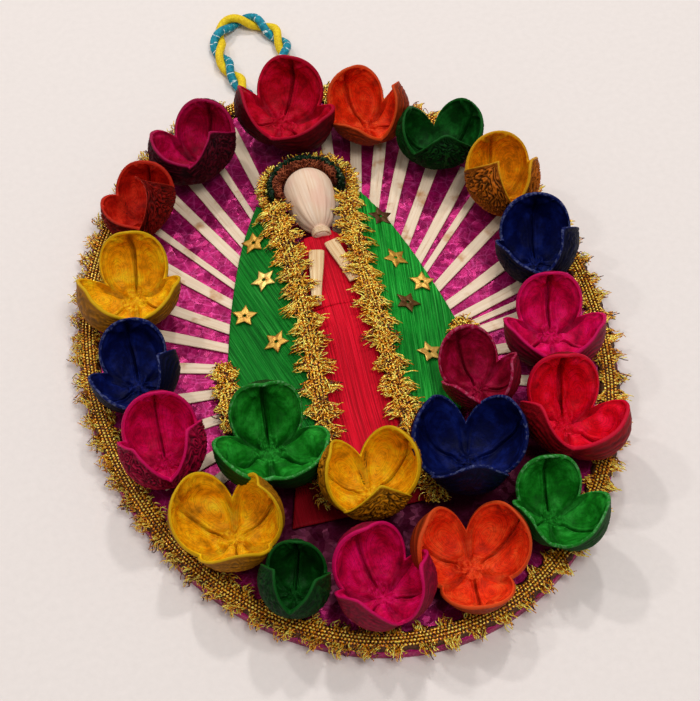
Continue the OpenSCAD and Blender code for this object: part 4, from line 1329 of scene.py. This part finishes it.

# %% [markdown]
# ## Seed pods
#
# The wreath is dry seed capsules, dyed bright. A ripe capsule splits into three valves that open like
# petals. Inside, a thin wall runs up the middle of each valve between two smooth chambers; outside, the
# skin is wrinkled. Sculpting each one would take a day, so a pod is one formula: a meridian of the closed
# capsule is turned outwards by its valve's opening angle, and the rim runs from the notches to the tips.

# %% Pod finishes
# colour inside and colour outside of each dye; the darker outside colour is partly the dye and partly painted
# shade
DYES = {
    "wine": ((0.70, 0.01, 0.22), (0.24, 0.01, 0.07)),
    "crimson": ((0.76, 0.01, 0.12), (0.32, 0.01, 0.05)),
    "orange": ((0.95, 0.20, 0.05), (0.56, 0.18, 0.05)),
    "forest": ((0.02, 0.24, 0.04), (0.02, 0.18, 0.04)),
    "ochre": ((0.95, 0.60, 0.03), (0.58, 0.30, 0.05)),
    "navy": ((0.01, 0.04, 0.26), (0.01, 0.02, 0.14)),
    "magenta": ((0.84, 0.01, 0.29), (0.50, 0.01, 0.16)),
    "garnet": ((0.58, 0.01, 0.15), (0.42, 0.02, 0.11)),
    "red": ((0.92, 0.02, 0.13), (0.52, 0.02, 0.07)),
    "green": ((0.07, 0.48, 0.09), (0.04, 0.24, 0.05)),
    "yellow": ((0.98, 0.66, 0.02), (0.60, 0.38, 0.03)),
    "rust": ((0.76, 0.10, 0.04), (0.42, 0.05, 0.03)),
}


def pod_finish(name, inner, outer):
    """Dyed capsule: growth lines inside, with painted shade towards the bottom, painted highlights on the
    ridges and painted shade in the grooves outside, a pale worn edge, frayed at the base, and painted shade
    along the middle line and round the chambers."""
    pod = Finish("pod_" + name, roughness=0.55, specular=0.10)
    inside, ring, crease, rim, line = (pod.mark(key) for key in ("inside", "ring", "crease", "rim", "line"))
    inner, outer = np.array(inner), np.array(outer)
    pale = np.minimum(1, inner**0.75 * 1.1 + 0.03)
    bare = 0.4 if name in ("navy", "green", "garnet") else 0.0
    cloud = pod.noise(190, detail=5, rough=0.6)
    fine = pod.noise(900, detail=4)
    far = pod.plus(pod.times(ring, 30.0), pod.times(cloud, 4.0))
    lines = pod.noise(1.0, detail=2, where=pod.node("CombineXYZ", [(0, far)]).outputs[0])
    dyed_in = pod.ramp(cloud, (0.28, inner * 0.68), (0.47, inner), (0.68, pale))
    lined = pod.mix(pod.band(lines, 0.46, 0.62), dyed_in, pod.mix(0.38, dyed_in, paint(inner * 0.45)))
    lined = pod.mix(pod.band(fine, 0.50, 0.64), lined, pod.mix(0.28, lined, paint(inner * 0.55)))
    # painted shade towards the bottom of each valve's inside
    low = pod.mix(pod.times(pod.band(rim, 0.40, 0.1), 0.25), lined, paint(inner * 0.6))
    frayed = pod.times(pod.band(rim, 0.24, 0.14), pod.band(fine, 0.46, 0.62))
    low = pod.mix(pod.times(frayed, 0.6), low, paint(pale))
    # painted highlights on the ridges of the wrinkles outside and painted shade in their grooves
    light = np.minimum(1, outer * 1.35 + 0.01)
    dyed_and_painted_light_out = pod.ramp(crease, (0.05, outer * 0.45), (0.5, outer * 0.9), (0.95, light))
    skin = pod.mix(pod.band(inside, 0.55, 0.9), dyed_and_painted_light_out, low)
    worn = pod.mix(pod.times(pod.band(rim, 0.975, 1.0), 0.4), skin, paint(pale))
    chipped = pod.times(pod.band(rim, 0.985, 1.0), pod.band(fine, 0.48, 0.62))
    worn = pod.mix(pod.times(chipped, bare), worn, paint(pale * 0.5 + 0.4))
    # painted shade along the middle line and round the chambers
    pod.colour(pod.mix(line, worn, paint(outer * 0.4)))
    pod.rough(cloud, 0.66, 0.46)
    pod.bump((lines, 0.12), (fine, 0.2))
    return pod


POD_FINISH = {name: pod_finish(name, *dyes) for name, dyes in DYES.items()}
print(len(POD_FINISH), "dyes")

# %% Pod table
POD_R, POD_HALF_L = 12.5, 14.5
POD_NOTCH, VALVE_CUP, VALVE_ROUND = 0.38, 0.35, 1.7
POD_WALL, SEPTUM_H = 1.15, 1.3
# angle on the oval, inset from the rim, turn of the first valve, size, tip of each valve, openings, and how
# far the skin wrinkles, the chambers bulge and the inside folds
PODS = {
    "pod_01_wine": (118.5, 21.5, 64, 1.0, (0.9, 0.8, 0.76), (18, 30, -4), 0.75, 2.6, 1.2),
    "pod_02_crimson": (90, 20.5, 62, 0.97, (0.92, 0.82, 0.86), (26, 22, 42), 0.55, 3.0, 1.6),
    "pod_03_orange": (64.5, 20.5, 105, 0.93, (0.92, 0.6, 0.92), (31, 8, 18), 0.55, 2.2, 0.8),
    "pod_04_forest": (43.5, 17.5, 25, 0.9, (0.85, 0.85, 0.76), (28, 25, 2), 0.9, 1.4, 0.8),
    "pod_05_ochre": (24.5, 15, 92, 1.02, (0.86, 0.84, 0.78), (22, -3, 2), 1.0, 1.4, 0.8),
    "pod_06_navy": (6.5, 18, 80, 1.0, (0.88, 0.66, 0.84), (28, 10, 3), 0.6, 1.8, 1.4),
    "pod_07_magenta": (348.5, 21.5, 80, 0.91, (0.92, 0.8, 0.82), (28, 33, 33), 0.45, 4.2, 0.6),
    "pod_08_garnet": (329.5, 48, 100, 0.92, (0.82, 0.62, 0.8), (26, 4, 10), 0.55, 2.2, 1.6),
    "pod_09_red": (326.5, 18, 80, 0.97, (0.97, 0.82, 0.86), (33, 15, 40), 0.55, 4.6, 0.6),
    "pod_10_navy": (302.5, 44, 17, 1.04, (0.85, 0.85, 0.8), (28, 26, 15), 0.6, 2.0, 1.4),
    "pod_11_green": (304.5, 11.5, 82, 0.91, (0.88, 0.66, 0.86), (20, 5, 34), 0.55, 2.8, 0.8),
    "pod_12_orange": (283, 17.5, 24, 0.93, (0.9, 0.92, 0.66), (32, 38, 34), 0.45, 2.4, 0.5),
    "pod_13_yellow": (258.5, 51, 32, 0.98, (0.84, 0.84, 0.78), (26, 22, 6), 0.9, 1.6, 1.8),
    "pod_14_magenta": (260, 15.5, 104, 1.02, (0.95, 0.72, 0.84), (30, 13, 13), 0.55, 3.0, 1.8),
    "pod_15_forest": (240.5, 10.5, 70, 0.9, (0.8, 0.8, 0.76), (5, 0, 2), 0.65, 1.6, 1.6),
    "pod_16_yellow": (224, 16.5, 22, 1.03, (0.88, 0.86, 0.65), (14, 34, 12), 0.55, 2.4, 2.4),
    "pod_17_green": (216.5, 45.5, 84, 0.95, (0.98, 0.74, 0.76), (31, 34, 42), 0.5, 5.8, 0.8),
    "pod_18_magenta": (201.5, 16, 90, 1.05, (0.88, 0.74, 0.8), (20, 6, 3), 0.85, 1.4, 1.0),
    "pod_19_navy": (183, 18, 90, 0.9, (0.9, 0.72, 0.9), (30, 22, 15), 0.5, 1.8, 1.6),
    "pod_20_yellow": (162.5, 20, 80, 0.93, (0.95, 0.9, 0.7), (32, 43, 24), 0.55, 2.8, 1.2),
    "pod_21_rust": (141, 16.5, 72, 0.94, (0.86, 0.66, 0.92), (14, 18, -12), 1.0, 1.2, 0.8),
}

# where the splits between the valves end, on the pods that have not split as far as the others
SPLITS = {
    "pod_01_wine": (0.42, 0.60, 0.56), "pod_02_crimson": (0.38, 0.50, 0.44),
    "pod_04_forest": (0.38, 0.50, 0.50), "pod_05_ochre": (0.52, 0.46, 0.50),
    "pod_06_navy": (0.44, 0.50, 0.44), "pod_07_magenta": (0.36, 0.50, 0.36),
    "pod_09_red": (0.36, 0.56, 0.34), "pod_15_forest": (0.44, 0.48, 0.42),
    "pod_17_green": (0.34, 0.58, 0.34), "pod_18_magenta": (0.44, 0.48, 0.50),
    "pod_20_yellow": (0.34, 0.54, 0.38), "pod_21_rust": (0.44, 0.50, 0.56),
}


print(len(PODS), "pods,", len(SPLITS), "of them with splits of their own")

# %% Skin of a pod
def valve_columns(half=26):
    """Angles round a pod, in degrees: six half valves, with the columns crowded to each valve's middle."""
    rise = 60 * (np.arange(half) / half) ** 1.35
    fall = 60 - 60 * (1 - np.arange(half) / half) ** 1.35
    return np.concatenate([start + step for start in (0, 120, 240) for step in (rise, 60 + fall)])


def pod_skin(u, lines, wrinkle, seed):
    """Wrinkles outside a pod: contour lines of noise, cos(6.28 k n), on a strongly wrinkled one, and fine
    bands on others. Returns their height, from 0 in a groove to 1, and the depth of the grooves."""
    sway, heave = (1.6 * lattice_noise(lines / 2, u * 8 + 7, seed + k, period=18) for k in (1, 6))
    hills = lattice_noise(lines / 2 + sway / 3, u * 9 + heave / 3, seed + 2, period=18)
    hills = hills + 0.30 * lattice_noise(lines * 5 / 3, u * 25, seed + 9, period=60)
    worms = 0.5 - 0.5 * np.cos(2 * np.pi * 5.4 * hills)
    bands = u * 17 + 1.3 * lattice_noise(lines / 2, u * 5, seed + 5, period=18) + 0.5 * sway
    patchy = lattice_noise(lines / 2, u * 14 + 5, seed + 6, period=18)
    streaks = 0.5 - 0.5 * np.cos(2 * np.pi * bands) * patchy
    strong = ease((wrinkle - 0.4) / 0.4)
    crease = worms * strong + streaks * (1 - strong)
    crease = crease + (0.6 - crease) * ease((u - 0.9) / 0.08)
    groove = (1 - worms) * 1.05 * wrinkle * strong + 0.9 * wrinkle * (1 - streaks) * (1 - strong)
    return crease, groove * ease((1.0 - u) / 0.08 + 0.15)


print(len(valve_columns()), "columns round a pod")

# %% Lining of a pod
def pod_lining(u, x, apart, lines, bulge, own_bulge, creased, seed):
    """Inside of the valves: two chambers in each, half ellipses that bulge from a channel round them, and two
    thin lips along its middle line, which lies apart millimetres away. Returns the wall's thickness and the
    painted shade along the middle line and in the channel round the chambers."""
    fork = 0.55 + 1.9 * ease((u - 0.78) / 0.22)
    start = ease(u / 0.2)
    lips = np.exp(-(((apart - fork) / 0.36) ** 2)) * start * ease((1.01 - u) / 0.05)
    split = np.exp(-((apart / 0.24) ** 2)) * start
    long = np.clip(1 - ((u - 0.52) / 0.42) ** 2, 0, 1) ** 0.4
    puff = np.sqrt(np.clip(1 - ((x - 0.45) / 0.40) ** 2, 0, 1)) * long
    channel = (1 - ease(puff / 0.4)) * ease((u - 0.14) / 0.1) * ease((0.97 - u) / 0.03)
    channel = channel * min(1.0, bulge / 3.5)
    seam = np.exp(-(((1 - x) / 0.11) ** 2)) * ease(u / 0.3)
    dent = lattice_noise(lines / 3, u * 3 + 3, seed + 3, period=12) - 0.5
    floor = 1.6 * (1 - ease((u - 0.10) / 0.24))
    crumb = (lattice_noise(lines / 2, u * 30, seed + 9, period=18) - 0.5) * (1 - ease((u - 0.12) / 0.12))
    fold = np.abs(2 * lattice_noise(lines / 4, u * 2.2 + 11, seed + 8, period=9) - 1)
    wall = POD_WALL + own_bulge * puff + SEPTUM_H * lips - 0.2 * split + 0.4 * seam + 0.6 * dent
    wall = wall + creased * (fold - 0.5) * long + floor + 1.6 * crumb
    # painted shade along the middle line and in the channel round the chambers
    line = np.maximum(0.4 * split, 0.3 * np.exp(-(((1 - x) / 0.05) ** 2))) * ease((1 - u) / 0.1)
    return np.maximum(wall, 0.55), np.maximum(line, 0.42 * channel)


print(f"walls of {POD_WALL} mm, lips of {SEPTUM_H} mm")

# %% The pods
WRINKLED = 0.7
FOOT_U = 0.03


def pod_surface(pod, splits, seed, inner_rows=48):
    """A split capsule. On the closed capsule a meridian is (r sin t, h - h cos t). Turned outwards by the
    opening o it becomes (out cos o + up sin o, up cos o - out sin o). t runs to the rim, which falls from the
    tips to the notches as 1 - x^1.7, where x is 0 in the middle of a valve and 1 at a notch. Rows run up the
    outside, over the rim and down the inside."""
    turn, size, tips, openings, wrinkle, bulge, creased = pod[2:]
    rng = np.random.default_rng(seed)
    around, outer_rows = (valve_columns(38), 92) if wrinkle > WRINKLED else (valve_columns(), 62)
    lines = around / 10
    valve = (around // 120).astype(int)
    f = around / 120 - valve
    x = 2 * np.minimum(f, 1 - f)
    own = np.where(f < 0.5, valve, valve + 1) % 3
    near, after = np.array(openings, float)[valve], np.array(openings, float)[(valve + 1) % 3]
    opening = np.radians(near + (after - near) * (1 - np.cos(np.pi * f)) / 2) * (1 - VALVE_CUP * x**2)
    tip, notch = np.array(tips)[own], np.array(splits)[valve]
    ragged = 0.016 * (lattice_noise(around / 15, np.zeros(len(around)), seed, period=24) - 0.5)
    rim = np.pi * (notch + (tip - notch) * (1 - x**VALVE_ROUND) + ragged)
    u_out, u_in = np.linspace(FOOT_U, 1, outer_rows), np.linspace(1, FOOT_U, inner_rows)
    u = np.concatenate([u_out, [1.010, 1.016, 1.010], u_in])[:, None]
    depth = np.concatenate([np.zeros(outer_rows), [0.2, 0.5, 0.8], np.ones(inner_rows)])[:, None]
    t = u * rim
    bent = opening * (1 - 0.22 * rng.uniform(0, 1, 3)[own] * ease((u - 0.6) / 0.4))

    crease, groove = pod_skin(u, lines, wrinkle, seed)
    across = np.where(f < 0.5, 2 * f, 2 * f - 2)
    wobble = 0.10 * (lattice_noise(own * 5.0 + 0.5, u * 5, seed + 7) - 0.5)
    apart = np.abs(across - wobble * np.sin(np.pi * u)) * np.pi / 3 * POD_R * size * np.sin(t)
    own_bulge = bulge * rng.uniform(0.85, 1.15, 3)[own]
    wall, line = pod_lining(u, x, apart, lines, bulge, own_bulge, creased, seed)

    skin = groove * (1 - depth) + wall * depth
    r, h = POD_R * size - skin, POD_HALF_L * size
    out, up = r * np.sin(t), h - (h - skin) * np.cos(t)
    uneven = lattice_noise(lines / 4, u * 2.5, seed + 4, period=9) - 0.5
    wide = (out * np.cos(bent) + up * np.sin(bent)) * (1 + 0.07 * uneven * u)
    high = up * np.cos(bent) - out * np.sin(bent)
    twist = np.radians(5) * rng.uniform(-1, 1, 3)[own] * (1 - x) * u**2
    a = np.radians(around + turn) + twist
    points = np.stack([wide * np.cos(a), wide * np.sin(a), high], -1)
    chamber = np.sqrt((x - 0.5) ** 2 * 3.2 + (u - 0.5) ** 2 * 3.2)
    marks = {"inside": depth, "ring": chamber, "crease": crease, "rim": np.minimum(u, 1),
             "line": line * depth}
    return points, {key: np.broadcast_to(value, high.shape) for key, value in marks.items()}


# marks at a pod's two poles: under its foot, and on the floor inside
POLE_MARKS = {"inside": [0, 1], "ring": [1, 1], "crease": [0.5, 0.5], "rim": [0, 0], "line": [0, 0]}


def place_pod(name, pod, seed):
    """Sets a pod on the oval at its CAD height and closes both its poles."""
    grid, marks = pod_surface(pod, SPLITS.get(name, (POD_NOTCH,) * 3), seed)
    rows, cols, _ = grid.shape
    points = np.vstack([grid.reshape(-1, 3), [[0, 0, 0], [0, 0, POD_WALL + 1.6]]])
    spot = np.radians(pod[0])
    points += [(RIM_A - pod[1]) * math.cos(spot), (RIM_B - pod[1]) * math.sin(spot), 0]
    points[:, 2] += span(name)[0][2] - points[:, 2].min()
    marks = {key: np.concatenate([value.ravel(), POLE_MARKS[key]]) for key, value in marks.items()}
    return points, grid_quads(rows, cols, round_cols=True), pole_fans(rows, cols)[:, [0, 2, 1]], marks


for seed, (name, pod) in enumerate(PODS.items()):
    dye_and_painted_shade = name.split("_")[-1]
    valves = place_pod(name, pod, 200 + 10 * seed)
    make_piece(name + "_valves", valves, POD_FINISH[dye_and_painted_shade], replaces=[name])

# %% [markdown]
# ## The hidden cord ends
#
# The ends of the cord are glued in slots between the cards and can only be seen from behind. Their CAD
# solids have the right shape, so they keep it and take the cord's yellow finish.

# %% Cord ends
coat(yellow_strand, "hanger_tails")

# %% [markdown]
# ## Floor and light
#
# The ornament lies on a pale painted surface in a bright room. A single hard lamp would give one black
# shadow, and a plain white world would leave metal flat. Three small lamps behind the ornament throw soft
# shadows that overlap towards the viewer, a broad lamp overhead fills them, and the world is slightly
# brighter above than at the horizon.

# %% Floor
floor_paint = speckled("floor_paint", 420, 4, (0.2, (0.905, 0.868, 0.848)), (0.8, (0.928, 0.890, 0.870)),
                       0.10, roughness=0.7, specular=0.1)
FLOOR_HALF, FLOOR_Z, FLOOR_LINES = 2500.0, -0.02, 9
side = np.linspace(-FLOOR_HALF, FLOOR_HALF, FLOOR_LINES)
corners = flat(np.stack(np.meshgrid(side, side), -1).reshape(-1, 2), FLOOR_Z)
floor_mesh = bpy.data.meshes.new("floor")
floor_mesh.from_pydata((corners * MM).tolist(), [], grid_quads(FLOOR_LINES, FLOOR_LINES).tolist())
floor_mesh.materials.append(floor_paint.material)
floor = bpy.data.objects.new("floor", floor_mesh)
bpy.context.scene.collection.objects.link(floor)

# %% Light
world = bpy.data.worlds.new("room")
world.use_nodes = True
bpy.context.scene.world = world
tree = world.node_tree
sky = tree.nodes.new("ShaderNodeTexCoord")
split = tree.nodes.new("ShaderNodeSeparateXYZ")
tone = tree.nodes.new("ShaderNodeValToRGB")
tree.links.new(sky.outputs["Generated"], split.inputs[0])
tree.links.new(split.outputs["Z"], tone.inputs["Fac"])
tree.links.new(tone.outputs["Color"], tree.nodes["Background"].inputs["Color"])
tone.color_ramp.elements[0].color = (0.24, 0.235, 0.23, 1)
tone.color_ramp.elements[1].color = (0.42, 0.415, 0.41, 1)

# azimuth, elevation, distance, size and power
LAMPS = {
    "left_lamp": (238, 50, 1500, 90, 2.0), "back_lamp": (202, 52, 1500, 90, 3.8),
    "right_lamp": (156, 54, 1500, 90, 4.3), "ceiling": (35, 72, 1600, 500, 8.8),
}
for name, (azimuth, elevation, away, size, watts) in LAMPS.items():
    lamp = bpy.data.objects.new(name, bpy.data.lights.new(name, "AREA"))
    lamp.data.size = size * MM
    lamp.data.energy = watts
    aim(lamp, away * direction(azimuth, elevation), np.zeros(3))
print("lamps:", ", ".join(LAMPS))
